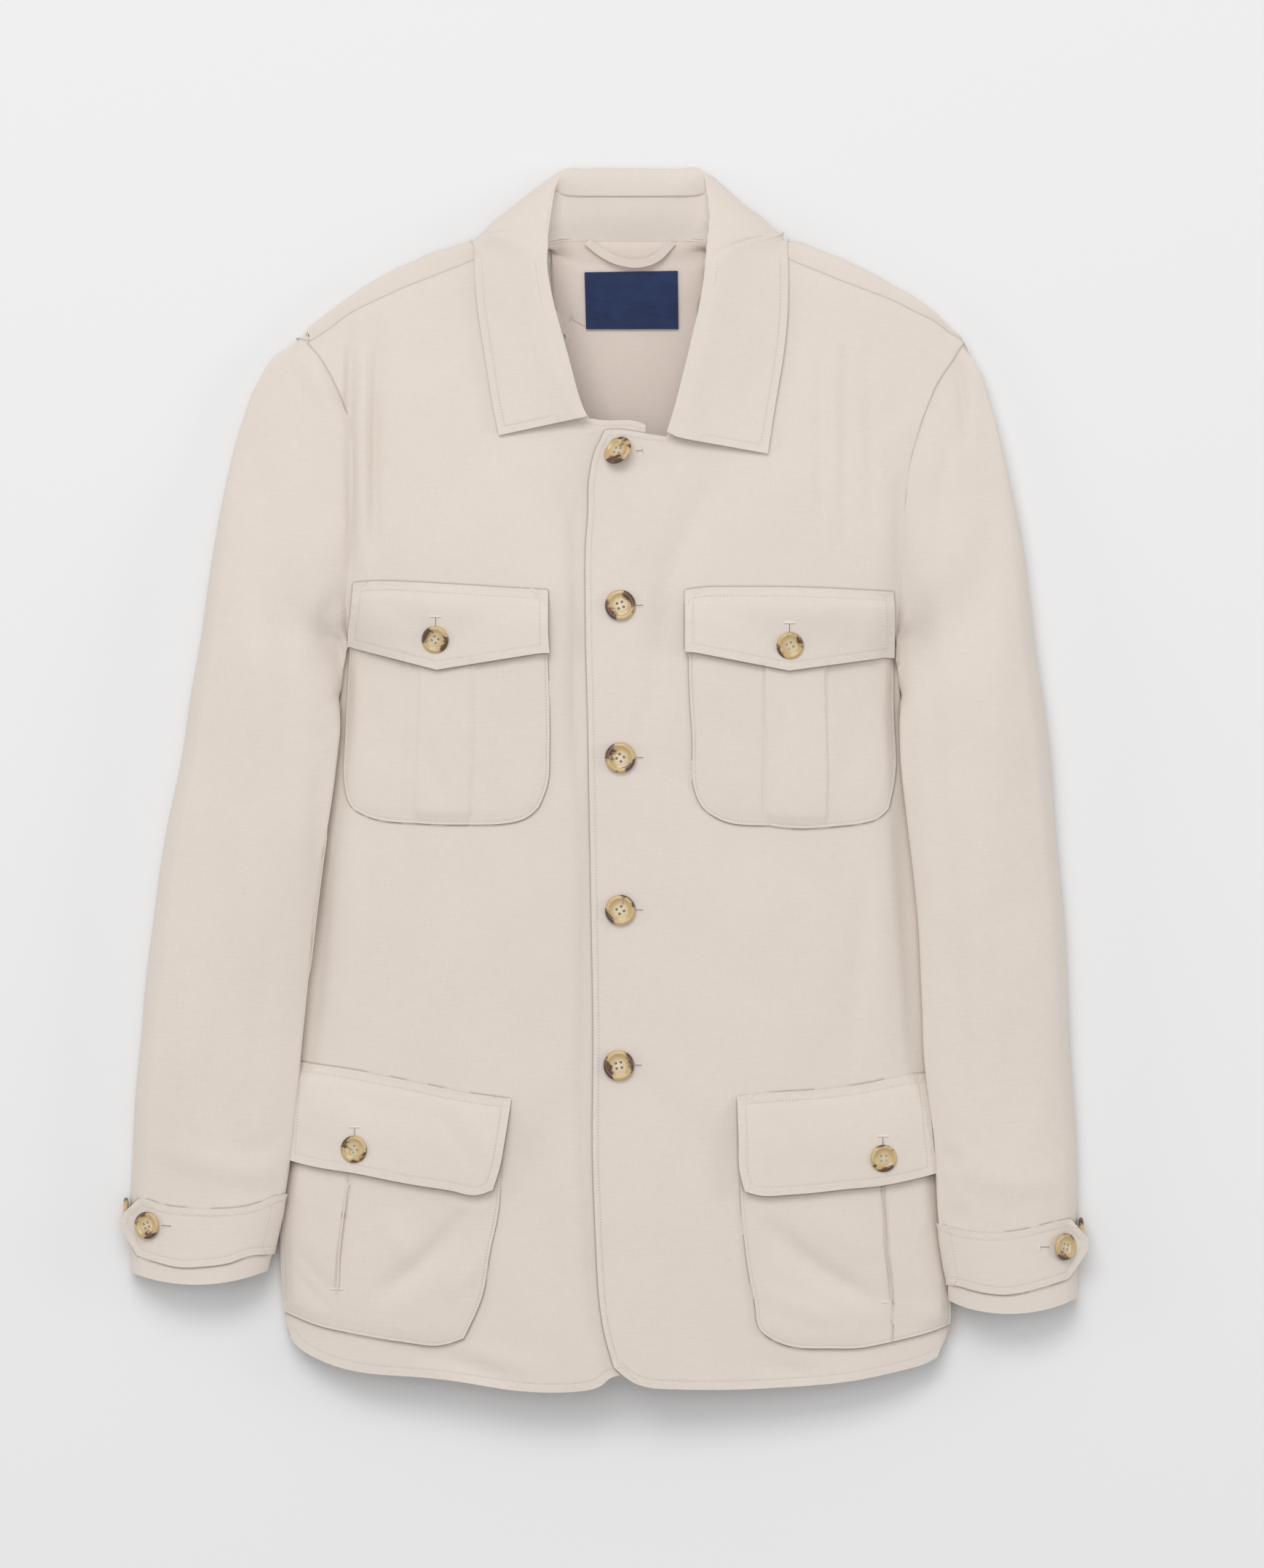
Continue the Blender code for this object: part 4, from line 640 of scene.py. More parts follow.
def rim_of(piece):
    """Places, inward ways and facings along a sheet's open edges."""
    work = bmesh.new()
    work.from_mesh(piece.data)
    work.normal_update()
    places, inward, facing = [], [], []
    for vert in work.verts:
        if vert.is_boundary:
            middle = sum((face.calc_center_median() for face in vert.link_faces), Vector())
            inside = middle / len(vert.link_faces) - vert.co
            edges = [edge for edge in vert.link_edges if edge.is_boundary]
            along = edges[0].other_vert(vert).co - edges[-1].other_vert(vert).co
            if along.length > 0:
                inside -= inside.project(along)
            places.append(vert.co[:])
            inward.append(inside.normalized()[:])
            facing.append(vert.normal[:])
    indices = [vert.index for vert in work.verts if vert.is_boundary]
    work.free()
    return np.array(places), np.array(inward), np.array(facing), np.array(indices)


def tucked(piece, neighbours, wall=0.7, reach=6.0, under=1.6, fade=13.0, level_below=-500):
    """Draws a sheet's edges that meet its neighbours' under them, as in a seam."""
    there = [rim_of(other)[:3] for other in neighbours]
    own = tree_at(rim_of(piece)[0])
    for other, (places, _, _) in zip(neighbours, there):
        seams.setdefault(other.name, []).extend(p for p in places if own.find(p)[2] < reach * MM)
    targets = np.concatenate(
        [
            places + inward * under * MM - facing * (wall + 0.1) * MM
            for places, inward, facing in there
        ]
    )
    tree = tree_at(np.concatenate([rim[0] for rim in there]))
    points = points_of(piece)
    pulls, centres = [], []
    for index in rim_of(piece)[3]:
        found, i, distance = tree.find(points[index])
        if distance < reach * MM:
            pull = targets[i] - points[index]
            if points[index][1] < level_below * MM:
                pull[2] = max(pull[2], -0.7 * MM)
            pulls.append(pull)
            centres.append(points[index])
    near = tree_at(centres)
    for index in range(len(points)):
        found = near.find_n(points[index], 3)
        distance = found[0][2] / MM
        if distance < fade:
            weights = np.array([1 / (item[2] / MM + 0.3) for item in found])
            pull = sum(w * pulls[item[1]] for w, item in zip(weights, found)) / weights.sum()
            points[index] += pull * (1 - eased(0, fade, distance)) ** 1.3
    set_points(piece, points)


def thickened(piece, wall):
    """Gives a sheet its thickness, thinner at seams; a second material goes on its inner side."""
    points = points_of(piece)
    lowest = 0.05 + wall * np.clip(facings_of(piece)[:, 2], 0, 1)
    points[:, 2] = np.maximum(points[:, 2], lowest * MM)
    set_points(piece, points)
    solid = piece.modifiers.new("Cloth", "SOLIDIFY")
    solid.thickness = wall * MM
    solid.offset = -1
    solid.material_offset = len(piece.data.materials) - 1
    if piece.name in seams:
        distance = distance_to(seams[piece.name], points_of(piece))
        thick = piece.vertex_groups.new(name="thick")
        for i, weight in enumerate(eased(0, SEAM_TAPER, distance)):
            thick.add([i], float(weight), "REPLACE")
        solid.vertex_group = "thick"
        solid.thickness_vertex_group = SEAM_SHARE
    settle_modifiers(piece)
    piece.vertex_groups.clear()
    piece.data.shade_smooth()
    piece.data.set_sharp_from_angle(angle=SHARP_CLOTH)


# Shader groups


def group(name, inputs, outputs):
    made = bpy.data.node_groups.new(name, "ShaderNodeTree")
    for label, kind, value in inputs:
        socket = made.interface.new_socket(label, in_out="INPUT", socket_type=kind)
        if value is not None:
            socket.default_value = value
    for label, kind in outputs:
        made.interface.new_socket(label, in_out="OUTPUT", socket_type=kind)
    start = made.nodes.new("NodeGroupInput")
    end = made.nodes.new("NodeGroupOutput")
    return made, start, end


def node(tree, kind, **settings):
    made = tree.nodes.new(kind)
    for name, value in settings.items():
        setattr(made, name, value)
    return made


def maths(tree, operation, first, second=None, clamp=False):
    made = node(tree, "ShaderNodeMath", operation=operation, use_clamp=clamp)
    for socket, value in zip(made.inputs, (first, second)):
        if value is None:
            continue
        if hasattr(value, "links"):
            tree.links.new(value, socket)
        else:
            socket.default_value = value
    return made.outputs[0]


def bell(tree, value, width):
    """1 where a value is 0, falling off on both sides over a width."""
    share = maths(tree, "DIVIDE", value, width)
    square = maths(tree, "MULTIPLY", share, share)
    return maths(tree, "POWER", EULER, maths(tree, "MULTIPLY", square, -1.0))


def attribute(tree, name):
    return node(tree, "ShaderNodeAttribute", attribute_name=name).outputs["Fac"]


def toned(colour, share):
    return tuple(min(1.0, value * share) for value in colour)


def noise(tree, vector, scales, detail, scale=1.0, distortion=0.0):
    """Noise on coordinates stretched by the three scales."""
    mapping = node(tree, "ShaderNodeMapping")
    mapping.inputs["Scale"].default_value = scales
    tree.links.new(vector, mapping.inputs["Vector"])
    made = node(tree, "ShaderNodeTexNoise")
    made.inputs["Scale"].default_value = scale
    made.inputs["Detail"].default_value = detail
    made.inputs["Distortion"].default_value = distortion
    tree.links.new(mapping.outputs[0], made.inputs["Vector"])
    return made.outputs["Fac"]


def woven_group():
    """Plain linen weave: height of the threads and how much light they lose."""
    made, start, end = group(
        "Plain weave",
        (("Vector", "NodeSocketVector", None), ("Slub", "NodeSocketFloat", 1.0)),
        (("Height", "NodeSocketFloat"), ("Shade", "NodeSocketFloat")),
    )
    vector, slub = start.outputs[0], start.outputs[1]
    weft = noise(made, vector, (130, 1700, 130), 2.0)
    warp = noise(made, vector, (1700, 130, 130), 2.0)
    fine = noise(made, vector, (1500, 1500, 1500), 1.0)
    threads = maths(made, "ADD", weft, maths(made, "MULTIPLY", warp, 0.8))
    raised = maths(made, "MULTIPLY", threads, slub)
    made.links.new(maths(made, "ADD", raised, maths(made, "MULTIPLY", fine, 0.5)), end.inputs[0])
    middle = maths(made, "SUBTRACT", threads, 0.9)
    made.links.new(maths(made, "MULTIPLY", middle, slub), end.inputs[1])
    return made


def sewn_group():
    """Puckers between an edge and its stitch line, and the groove that the thread draws in, with the
    groove's painted shade.
    """
    made, start, end = group(
        "Sewn edge",
        (
            ("Vector", "NodeSocketVector", None), ("Line", "NodeSocketFloat", FAR),
            ("Band", "NodeSocketFloat", 0.0),
        ),
        (("Height", "NodeSocketFloat"), ("Shade", "NodeSocketFloat")),
    )
    vector, line, band = start.outputs[:3]
    groove = bell(made, line, GROOVE_WIDTH)
    pucker = maths(made, "SUBTRACT", noise(made, vector, (260, 260, 260), 2.0, distortion=0.4), 0.5)
    soft = maths(made, "SUBTRACT", noise(made, vector, (90, 90, 90), 1.0), 0.5)
    fine = maths(made, "MULTIPLY", pucker, 0.9)
    uneven = maths(made, "ADD", fine, maths(made, "MULTIPLY", soft, 0.9))
    raised = maths(made, "MULTIPLY", maths(made, "ADD", uneven, 0.12), band)
    near = maths(made, "ADD", 0.6, pucker)
    # The groove's depth, used for the bump and also as painted shade for the base colour
    groove_depth_and_shade = maths(made, "MULTIPLY", groove, near)
    height = maths(made, "SUBTRACT", raised, maths(made, "MULTIPLY", groove_depth_and_shade, 0.4))
    made.links.new(height, end.inputs[0])
    made.links.new(groove_depth_and_shade, end.inputs[1])
    return made


def mottle_group():
    """Wide soft unevenness of a finish, about 0."""
    made, start, end = group(
        "Soft mottle",
        (("Vector", "NodeSocketVector", None), ("Size", "NodeSocketFloat", 1.0)),
        (("Value", "NodeSocketFloat"),),
    )
    scaled = node(made, "ShaderNodeVectorMath", operation="SCALE")
    made.links.new(start.outputs[0], scaled.inputs[0])
    made.links.new(start.outputs[1], scaled.inputs["Scale"])
    wide = noise(made, scaled.outputs[0], (14, 14, 14), 3.0)
    made.links.new(maths(made, "SUBTRACT", wide, 0.5), end.inputs[0])
    return made


def placed_group(tree, shared, vector, **values):
    made = node(tree, "ShaderNodeGroup", node_tree=shared)
    tree.links.new(vector, made.inputs["Vector"])
    for name, value in values.items():
        made.inputs[name].default_value = value
    return made


def mixed(tree, share, first, second):
    made = node(tree, "ShaderNodeMix", data_type="RGBA", clamp_factor=True)
    for socket, value in zip((made.inputs[0], made.inputs[6], made.inputs[7]), (share, first, second)):
        if hasattr(value, "links"):
            tree.links.new(value, socket)
        else:
            socket.default_value = (*value, 1)
    return made.outputs[2]


def finish(name, roughness, **fixed):
    """A new material: its tree, its Principled shader and Object coordinates."""
    made = bpy.data.materials.new(name)
    made.use_nodes = True
    tree = made.node_tree
    shader = tree.nodes["Principled BSDF"]
    shader.inputs["Roughness"].default_value = roughness
    for label, value in fixed.items():
        shader.inputs[label.replace("_", " ")].default_value = value
    place = node(tree, "ShaderNodeTexCoord").outputs["Object"]
    return made, tree, shader, place


def bump(tree, shader, height, strength, distance, under=None):
    made = node(tree, "ShaderNodeBump")
    made.inputs["Strength"].default_value = strength
    made.inputs["Distance"].default_value = distance * MM
    tree.links.new(height, made.inputs["Height"])
    if under is not None:
        tree.links.new(under.outputs[0], made.inputs["Normal"])
    tree.links.new(made.outputs[0], shader.inputs["Normal"])
    return made


def woven_finish(name, colour, slub, strength):
    """Matt woven cloth with slubs, faint mottling, a soft sheen, and painted shade along stitch
    grooves, seams and overlying edges.
    """
    made, tree, shader, place = finish(name, 0.88, Sheen_Weight=0.12, Sheen_Roughness=0.45)
    shader.inputs["Specular IOR Level"].default_value = 0.25
    woven = placed_group(tree, WEAVE, place, Slub=slub)
    mottled = placed_group(tree, MOTTLE, place, Size=1.0)
    shade = maths(tree, "MULTIPLY", woven.outputs[1], 0.30)
    share = maths(tree, "ADD", shade, maths(tree, "MULTIPLY", mottled.outputs[0], 0.22))
    share = maths(tree, "ADD", share, 0.60, clamp=True)
    cloth = mixed(tree, share, toned(colour, 0.80), toned(colour, 1.12))
    sewn = placed_group(tree, SEWN, place)
    for mark, socket in (("stitch_line", "Line"), ("edge_band", "Band")):
        tree.links.new(attribute(tree, mark), sewn.inputs[socket])
    # Painted shade: stitch grooves, and a narrow painted shadow along seams and under overlying edges,
    # darken the colour
    seam = maths(tree, "MULTIPLY", bell(tree, attribute(tree, "painted_shadow_distance"), SEAM_WIDTH), 0.75)
    painted_shade = maths(tree, "ADD", maths(tree, "MULTIPLY", sewn.outputs[1], 0.12), seam, clamp=True)
    shaded = mixed(tree, painted_shade, cloth, toned(colour, 0.62))
    tree.links.new(shaded, shader.inputs["Base Color"])
    sewing = bump(tree, shader, sewn.outputs[0], 0.8, 0.7)
    bump(tree, shader, woven.outputs[0], strength, 0.25, sewing)
    return made


def horn_finish():
    """Polished horn: amber with dark patches at the rim and a pale middle."""
    made, tree, shader, place = finish("Mottled horn", 0.22, Coat_Weight=0.35, Coat_Roughness=0.08)
    radius, side = attribute(tree, "radius"), attribute(tree, "side")
    patch = noise(tree, place, (95, 95, 95), 2.0, distortion=0.6)
    streak = noise(tree, place, (260, 420, 200), 3.0, distortion=0.8)
    cloud = placed_group(tree, MOTTLE, place, Size=14.0)
    pale = maths(tree, "SUBTRACT", 0.95, maths(tree, "MULTIPLY", radius, 1.5), clamp=True)
    pale = maths(tree, "ADD", pale, maths(tree, "MULTIPLY", cloud.outputs[0], 0.8), clamp=True)
    ground = mixed(tree, pale, HORN_AMBER, HORN_PALE)
    dark = maths(tree, "ADD", patch, maths(tree, "MULTIPLY", maths(tree, "MULTIPLY", side, side), 0.42))
    dark = maths(tree, "ADD", dark, maths(tree, "MULTIPLY", maths(tree, "SUBTRACT", streak, 0.5), 0.35))
    dark = maths(tree, "MULTIPLY", maths(tree, "SUBTRACT", dark, 0.66), 9.0, clamp=True)
    tree.links.new(mixed(tree, dark, ground, HORN_DARK), shader.inputs["Base Color"])
    return made


def satin_finish():
    """Close woven satin: fine lines and a broad shine."""
    made, tree, shader, place = finish("Navy satin", 0.5, Sheen_Weight=0.05, Sheen_Roughness=0.3)
    shader.inputs["Specular IOR Level"].default_value = 0.25
    lines = noise(tree, place, (120, 2600, 120), 2.0)
    mottled = placed_group(tree, MOTTLE, place, Size=6.0)
    share = maths(tree, "ADD", lines, mottled.outputs[0], clamp=True)
    blue = mixed(tree, share, toned(NAVY, 0.6), toned(NAVY, 1.6))
    tree.links.new(blue, shader.inputs["Base Color"])
    bump(tree, shader, lines, 0.35, 0.12)
    return made


def thread_finish(name, colour):
    """Twisted thread, with a painted highlight from noise standing for its lighter ridges."""
    made, tree, shader, place = finish(name, 0.7, Sheen_Weight=0.2, Sheen_Roughness=0.4)
    twist_highlight = noise(tree, place, (2200, 2200, 2200), 1.0)
    tree.links.new(mixed(tree, twist_highlight, toned(colour, 0.85), colour), shader.inputs["Base Color"])
    return made


WEAVE = woven_group()
SEWN = sewn_group()
MOTTLE = mottle_group()
linen = woven_finish("Light linen", LINEN, 1.0, 0.32)
inside = woven_finish("Linen inside, painted lighter", INSIDE_PAINTED_LIGHTER, 1.0, 0.32)
horn = horn_finish()
satin = satin_finish()
thread = thread_finish("Cream thread", THREAD)
needle_shade_finish = thread_finish("Painted needle hole shade", NEEDLE_HOLE_SHADE)
slit_shade_finish = thread_finish("Painted slit and hole shade", SLIT_SHADE)


# Cloth pieces


NUDGES_OF = {
    "collar_stand": COLLAR_NUDGES, "collar_fall": COLLAR_NUDGES, "front_left": OVER_NUDGES,
    "sleeve_right": SLEEVE_NUDGES, "sleeve_left": SLEEVE_NUDGES, "front_right": UNDER_NUDGES,
}


def add_cloth(row):
    name, rounds, keep, wall = row[:4]
    sheet = fine_sheet(name, rounds, keep, wall, 1 if name == "collar_fall" else 3)
    points = points_of(sheet)
    upward = eased(*UPPER_SIDE, facings_of(sheet)[:, 2])
    if name in WITHOUT_FOLDS:
        upward = 0 * upward
    if name.startswith("collar"):
        upward = COLLAR_FOLD_SHARE * upward
    points[:, 2] += drape(plan(points)) * upward * MM
    if name == "front_left":
        at = plan(points)
        edge = away_from(at, np.array(OVER_EDGE, float))[0]
        corner = np.linalg.norm(at - OVER_EDGE[0], axis=1)
        height, reach = OVER_EDGE_LIFT
        corner_height, corner_reach = OVER_CORNER_LIFT
        off = height * (1 - eased(0, reach, edge))
        points[:, 2] += (off + corner_height * np.exp(-((corner / corner_reach) ** 2))) * MM
        shift = np.interp(at[:, 1], *zip(*EDGE_SHIFTS))
        points[:, 0] += shift * np.exp(-((edge / OVER_EDGE_REACH) ** 2)) * MM
    set_points(sheet, points)
    if row in PANELS:
        nudged(sheet, np.array(NUDGES_OF.get(name, BODY_NUDGES), float))
    elif name.startswith("hip"):
        nudged(sheet, np.array(HIP_NUDGES, float), HIP_NUDGE_RADIUS)
    elif name in FLAP_EDGES:
        straightened(sheet, FLAP_EDGES[name])
    sheets[name] = sheet


def sewn_edges(sheet, sewn, reach=9.0):
    """0 at the edges of a patch that are sewn down, rising to 1 inside and at its free edges."""
    loop = edge_loop(sheet)
    held = np.array([sewn(way, None) for way in outward(plan(loop), 1)])
    return eased(0, reach, distance_to(loop[held], points_of(sheet)))


def low_share(sheet):
    """0 at the top of a sheet, rising to 1 at its bottom."""
    down = -points_of(sheet)[:, 1]
    return eased(down.min(), down.max(), down)


# Which edges of a sheet are meant, by the way out of it and the place on the plan


def along_top(way, place):
    return way[1] >= 0.75


def below_top(way, place):
    return way[1] < 0.75


def top_edge(way, place):
    return way[1] > 0.8


def hem_edge(way, place):
    return way[1] < -0.5 and place[1] < -350


def collar_edge(way, place):
    return place[1] < 340 and abs(place[0] - 17) > 50


def any_edge(way, place):
    return True


def front_edge(way, place):
    return abs(way[0]) > 0.6 and abs(place[0]) < 22 and place[1] < 226


def neck_edge(way, place):
    return way[1] > 0.7 and -14 < place[0] < 45 and 215 < place[1] < 245


sheets = {}
# Where each sheet is sewn over another
seams = {}
for row in PANELS + POCKETS + FLAPS + SMALL_CLOTH:
    add_cloth(row)
settled(sheets["front_left"], tree_of(sheets["front_right"]), PANEL + 0.3)
fronts = [sheets["front_left"], sheets["front_right"]]
tucked(sheets["back"], fronts)
for side in SIDES:
    tucked(sheets[f"sleeve_{side}"], [*fronts, sheets["back"]], fade=18.0, level_below=125)
    for place in ("chest", "hip"):
        pocket, flap = sheets[f"{place}_pocket_{side}"], sheets[f"{place}_flap_{side}"]
        front = tree_of(sheets[f"front_{side}"])
        low = BAG_REST + BAG_LIFT[place] * low_share(pocket) ** 3
        settled(pocket, front, PANEL + 0.1, sewn_edges(pocket, below_top), low)
        both = tree_of(sheets[f"front_{side}"], pocket)
        free = sewn_edges(flap, along_top, FLAP_REACH)
        settled(flap, both, PANEL + 0.25, free, FLAP_REST + FLAP_LIFT * low_share(flap) ** 2)
tucked(sheets["collar_stand"], [sheets["collar_fall"], sheets["back"]], 0.8)


def stitch_tree():
    """Short rounded stitches along every spline of a curve."""
    tree = bpy.data.node_groups.new("Stitches", "GeometryNodeTree")
    tree.interface.new_socket("Geometry", in_out="INPUT", socket_type="NodeSocketGeometry")
    for label, value in (("Pitch", 2.0), ("Length", 1.5), ("Radius", 0.2), ("Turn", 0.0)):
        socket = tree.interface.new_socket(label, in_out="INPUT", socket_type="NodeSocketFloat")
        socket.default_value = value
    tree.interface.new_socket("Thread", in_out="INPUT", socket_type="NodeSocketMaterial")
    tree.interface.new_socket("Geometry", in_out="OUTPUT", socket_type="NodeSocketGeometry")
    start, end = node(tree, "NodeGroupInput"), node(tree, "NodeGroupOutput")
    points = node(tree, "GeometryNodeCurveToPoints", mode="LENGTH")
    along = node(tree, "FunctionNodeAlignRotationToVector", axis="X")
    turned = node(tree, "FunctionNodeRotateRotation", rotation_space="LOCAL")
    angle = node(tree, "FunctionNodeAxisAngleToRotation")
    angle.inputs["Axis"].default_value = (0, 0, 1)
    ball = node(tree, "GeometryNodeMeshIcoSphere")
    ball.inputs["Radius"].default_value = 1.0
    ball.inputs["Subdivisions"].default_value = 1
    size = node(tree, "ShaderNodeCombineXYZ")
    half = node(tree, "ShaderNodeMath", operation="MULTIPLY")
    half.inputs[1].default_value = 0.5
    copies = node(tree, "GeometryNodeInstanceOnPoints")
    real = node(tree, "GeometryNodeRealizeInstances")
    look = node(tree, "GeometryNodeSetMaterial")
    for source, output, target, socket in (
        (start, "Geometry", points, "Curve"), (start, "Pitch", points, "Length"),
        (points, "Tangent", along, "Vector"), (start, "Turn", angle, "Angle"),
        (along, 0, turned, "Rotation"), (angle, 0, turned, "Rotate By"),
        (start, "Length", half, 0), (half, 0, size, 0),
        (start, "Radius", size, 1), (start, "Radius", size, 2),
        (points, "Points", copies, "Points"), (ball, "Mesh", copies, "Instance"),
        (turned, 0, copies, "Rotation"), (size, 0, copies, "Scale"),
        (copies, 0, real, 0), (real, 0, look, "Geometry"),
        (start, "Thread", look, "Material"), (look, 0, end, 0),
    ):
        tree.links.new(source.outputs[output], target.inputs[socket])
    return tree


STITCHES = stitch_tree()


def stitched(name, paths, look, pitch, length, radius, turn=0.0):
    """Stitches along paths of points in metres, as one plain mesh."""
    curve = bpy.data.curves.new(name, "CURVE")
    curve.dimensions = "3D"
    for path in paths:
        spline = curve.splines.new("POLY")
        spline.points.add(len(path) - 1)
        flat = np.concatenate([path, np.ones((len(path), 1))], axis=1)
        spline.points.foreach_set("co", flat.ravel())
    guide = placed(name + "_path", curve)
    sewing = guide.modifiers.new("Stitches", "NODES")
    sewing.node_group = STITCHES
    values = {
        "Pitch": pitch * MM, "Length": length * MM, "Radius": radius * MM,
        "Turn": turn, "Thread": look,
    }
    for item in STITCHES.interface.items_tree:
        if item.in_out == "INPUT" and item.name in values:
            sewing[item.identifier] = values[item.name]
    bpy.context.view_layer.update()
    graph = bpy.context.evaluated_depsgraph_get()
    mesh = bpy.data.meshes.new_from_object(guide.evaluated_get(graph))
    bpy.data.objects.remove(guide)
    mesh.shade_smooth()
    return placed(name, mesh)


def on_surface(path, tree, lift):
    """Plan points laid on a surface; points that miss it are dropped."""
    found = []
    for x, y in (np.asarray(path) + PLAN_SHIFT) * MM:
        place = tree.ray_cast(Vector((x, y, 0.5)), Vector((0, 0, -1)))[0]
        if place is not None:
            found.append((place.x, place.y, place.z + lift * MM))
    return np.array(found).reshape(-1, 3)


def inset_rows(sheet, inset, wanted, tree, lift=0.05):
    """Stitch rows at a distance inside the edges of a sheet whose outward direction is wanted."""
    loop = closed(plan(edge_loop(sheet)), 1.0)
    out = outward(loop, 2)
    rows, run = [], []
    tests = loop - out * inset
    distance = np.array([np.min(np.linalg.norm(loop - test, axis=1)) for test in tests])
    keep = [
        wanted(way, place) and far > inset * 0.93 for way, place, far in zip(out, loop, distance)
    ]
    first = keep.index(False) if False in keep else 0
    order = [(first + i) % len(keep) for i in range(len(keep))]
    for i in order:
        if keep[i]:
            if run and np.linalg.norm(tests[i] - run[-1]) > 3 * inset + 4:
                rows.append(run)
                run = []
            run.append(tests[i])
    rows.append(run)
    laid = []
    for row in rows:
        if len(row) > 4:
            path = on_surface(evenly(row, 1.0), tree, lift)
            if len(path) > 4:
                laid.append(path)
    return laid


EDGE_ROWS = [
    (f"{place}_flap_{side}", inset, edges)
    for place in ("chest", "hip")
    for side in SIDES
    for inset, edges in ((5.8, top_edge), (5.4, below_top))
]
EDGE_ROWS += [(row[0], 1.9, below_top) for row in POCKETS]
EDGE_ROWS += [(f"cuff_tab_{side}", 4.8, any_edge) for side in SIDES]
EDGE_ROWS += [
    ("collar_fall", 5.0, collar_edge), ("front_right", 5.6, hem_edge), ("front_left", 5.6, hem_edge),
    ("front_left", 3.6, front_edge), ("front_left", 3.6, neck_edge), ("front_right", 3.6, neck_edge),
]


def beyond_edge(points, upper):
    """Distance of points outside the edge of a sheet that lies over them, below 0 under it."""
    flat = closed(plan(edge_loop(upper)), EDGE_STEP)
    out = outward(flat, 1)
    tree = tree_at(np.concatenate([flat, 0 * flat[:, :1]], axis=1))
    found = [tree.find((x, y, 0))[1] for x, y in plan(points)]
    signed = np.sum((plan(points) - flat[found]) * out[found], axis=1)
    far = np.linalg.norm(plan(points) - flat[found], axis=1)
    signed = np.where(signed < 0, -far, far)
    return np.where(signed > -3, np.maximum(signed - 0.3, -3), FAR)


# The sheets that lie on each sheet, whose edges get a painted shadow on it
LAID_OVER = {}
for side in SIDES:
    patches = [f"{patch}_{side}" for patch in ("chest_pocket", "chest_flap", "hip_pocket", "hip_flap")]
    LAID_OVER[f"front_{side}"] = patches
    LAID_OVER[patches[0]] = patches[1:2]
    LAID_OVER[patches[2]] = patches[3:]
    LAID_OVER[f"sleeve_{side}"] = [f"cuff_tab_{side}"]
LAID_OVER["front_right"] = ["front_left", *LAID_OVER["front_right"]]


def mark_edges(sheet, rules, above=()):
    """Attributes for the shader: distance from stitch lines, 1 outside them, and distance from seams
    and overlying edges for a painted shadow.
    """
    loop = closed(edge_loop(sheet), EDGE_STEP * MM)
    flat = plan(loop)
    out = outward(flat, 2)
    points = points_of(sheet)
    line = np.full(len(points), FAR)
    band = np.zeros(len(points))
    for inset, wanted in rules:
        chosen = [i for i in range(len(loop)) if wanted(out[i], flat[i])]
        if not chosen:
            continue
        distance = distance_to(loop[chosen], points)
        line = np.where(abs(distance - inset) < abs(line), distance - inset, line)
        band = np.maximum(band, 1 - eased(inset - 1.2, inset + 0.6, distance))
    # Distance for the painted shadow along overlying edges and seams
    seam = np.full(len(points), FAR)
    for upper in above:
        seam = np.minimum(seam, beyond_edge(points, sheets[upper]))
    if sheet.name in seams:
        seam = np.minimum(seam, distance_to(seams[sheet.name], points))
    for name, values in (("stitch_line", line), ("edge_band", band), ("painted_shadow_distance", seam)):
        sheet.data.attributes.new(name, "FLOAT", "POINT").data.foreach_set("value", values)


def sew(name, paths, look, pitch, length, radius, turn=0.0):
    piece = stitched(name, paths, look, pitch, length, radius, turn)
    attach(piece, "root")


rows = []
for name, inset, edges in EDGE_ROWS:
    rows.extend(inset_rows(sheets[name], inset, edges, tree_of(sheets[name])))
for name, sheet in sheets.items():
    mark_edges(sheet, [row[1:] for row in EDGE_ROWS if row[0] == name], LAID_OVER.get(name, ()))
needle_shade_paths = [evenly(path, 0.5 * MM)[2:] for path in rows]
top = tree_of(*(sheet for name, sheet in sheets.items() if name != "back"))
slit_shade_paths, tacks, rims = [], [], []
for x0, y0, x1, y1, tack in BUTTONHOLES:
    ends = np.array(((x0, y0), (x1, y1)), float)
    way = (ends[1] - ends[0]) / np.linalg.norm(ends[1] - ends[0])
    across = np.array((-way[1], way[0]))
    slit_shade_paths.append(on_surface(evenly(ends, 0.5), top, 0.05))
    for side in (-SLIT_SIDE, SLIT_SIDE):
        rims.append(on_surface(evenly(ends + side * across, 0.5), top, 0.0))
    if tack:
        half = across * tack / 2
        tacks.append(on_surface(evenly((ends[1] - half, ends[1] + half), 0.4), top, 0.1))
for x0, y0, x1, y1 in PLEAT_TACKS:
    tacks.append(on_surface(evenly(((x0, y0), (x1, y1)), 0.4), top, 0.1))
sew("edge_stitching", rows, thread, STITCH_PITCH, STITCH_LENGTH, STITCH_RADIUS)
# Dark dots between the stitches: painted shade in the needle holes
sew("needle_hole_shade", needle_shade_paths, needle_shade_finish, STITCH_PITCH, 2 * HOLE_RADIUS, HOLE_RADIUS)
# Dark slits: painted shade in the buttonhole openings
sew("buttonhole_slit_shade", slit_shade_paths, slit_shade_finish, 0.4, 1.0, 0.22)
sew("buttonhole_edges", rims, thread, 0.40, 1.2, 0.26, ACROSS)
sew("bar_tacks", tacks, thread, 0.38, 2.2, 0.34, ACROSS)


# Buttons


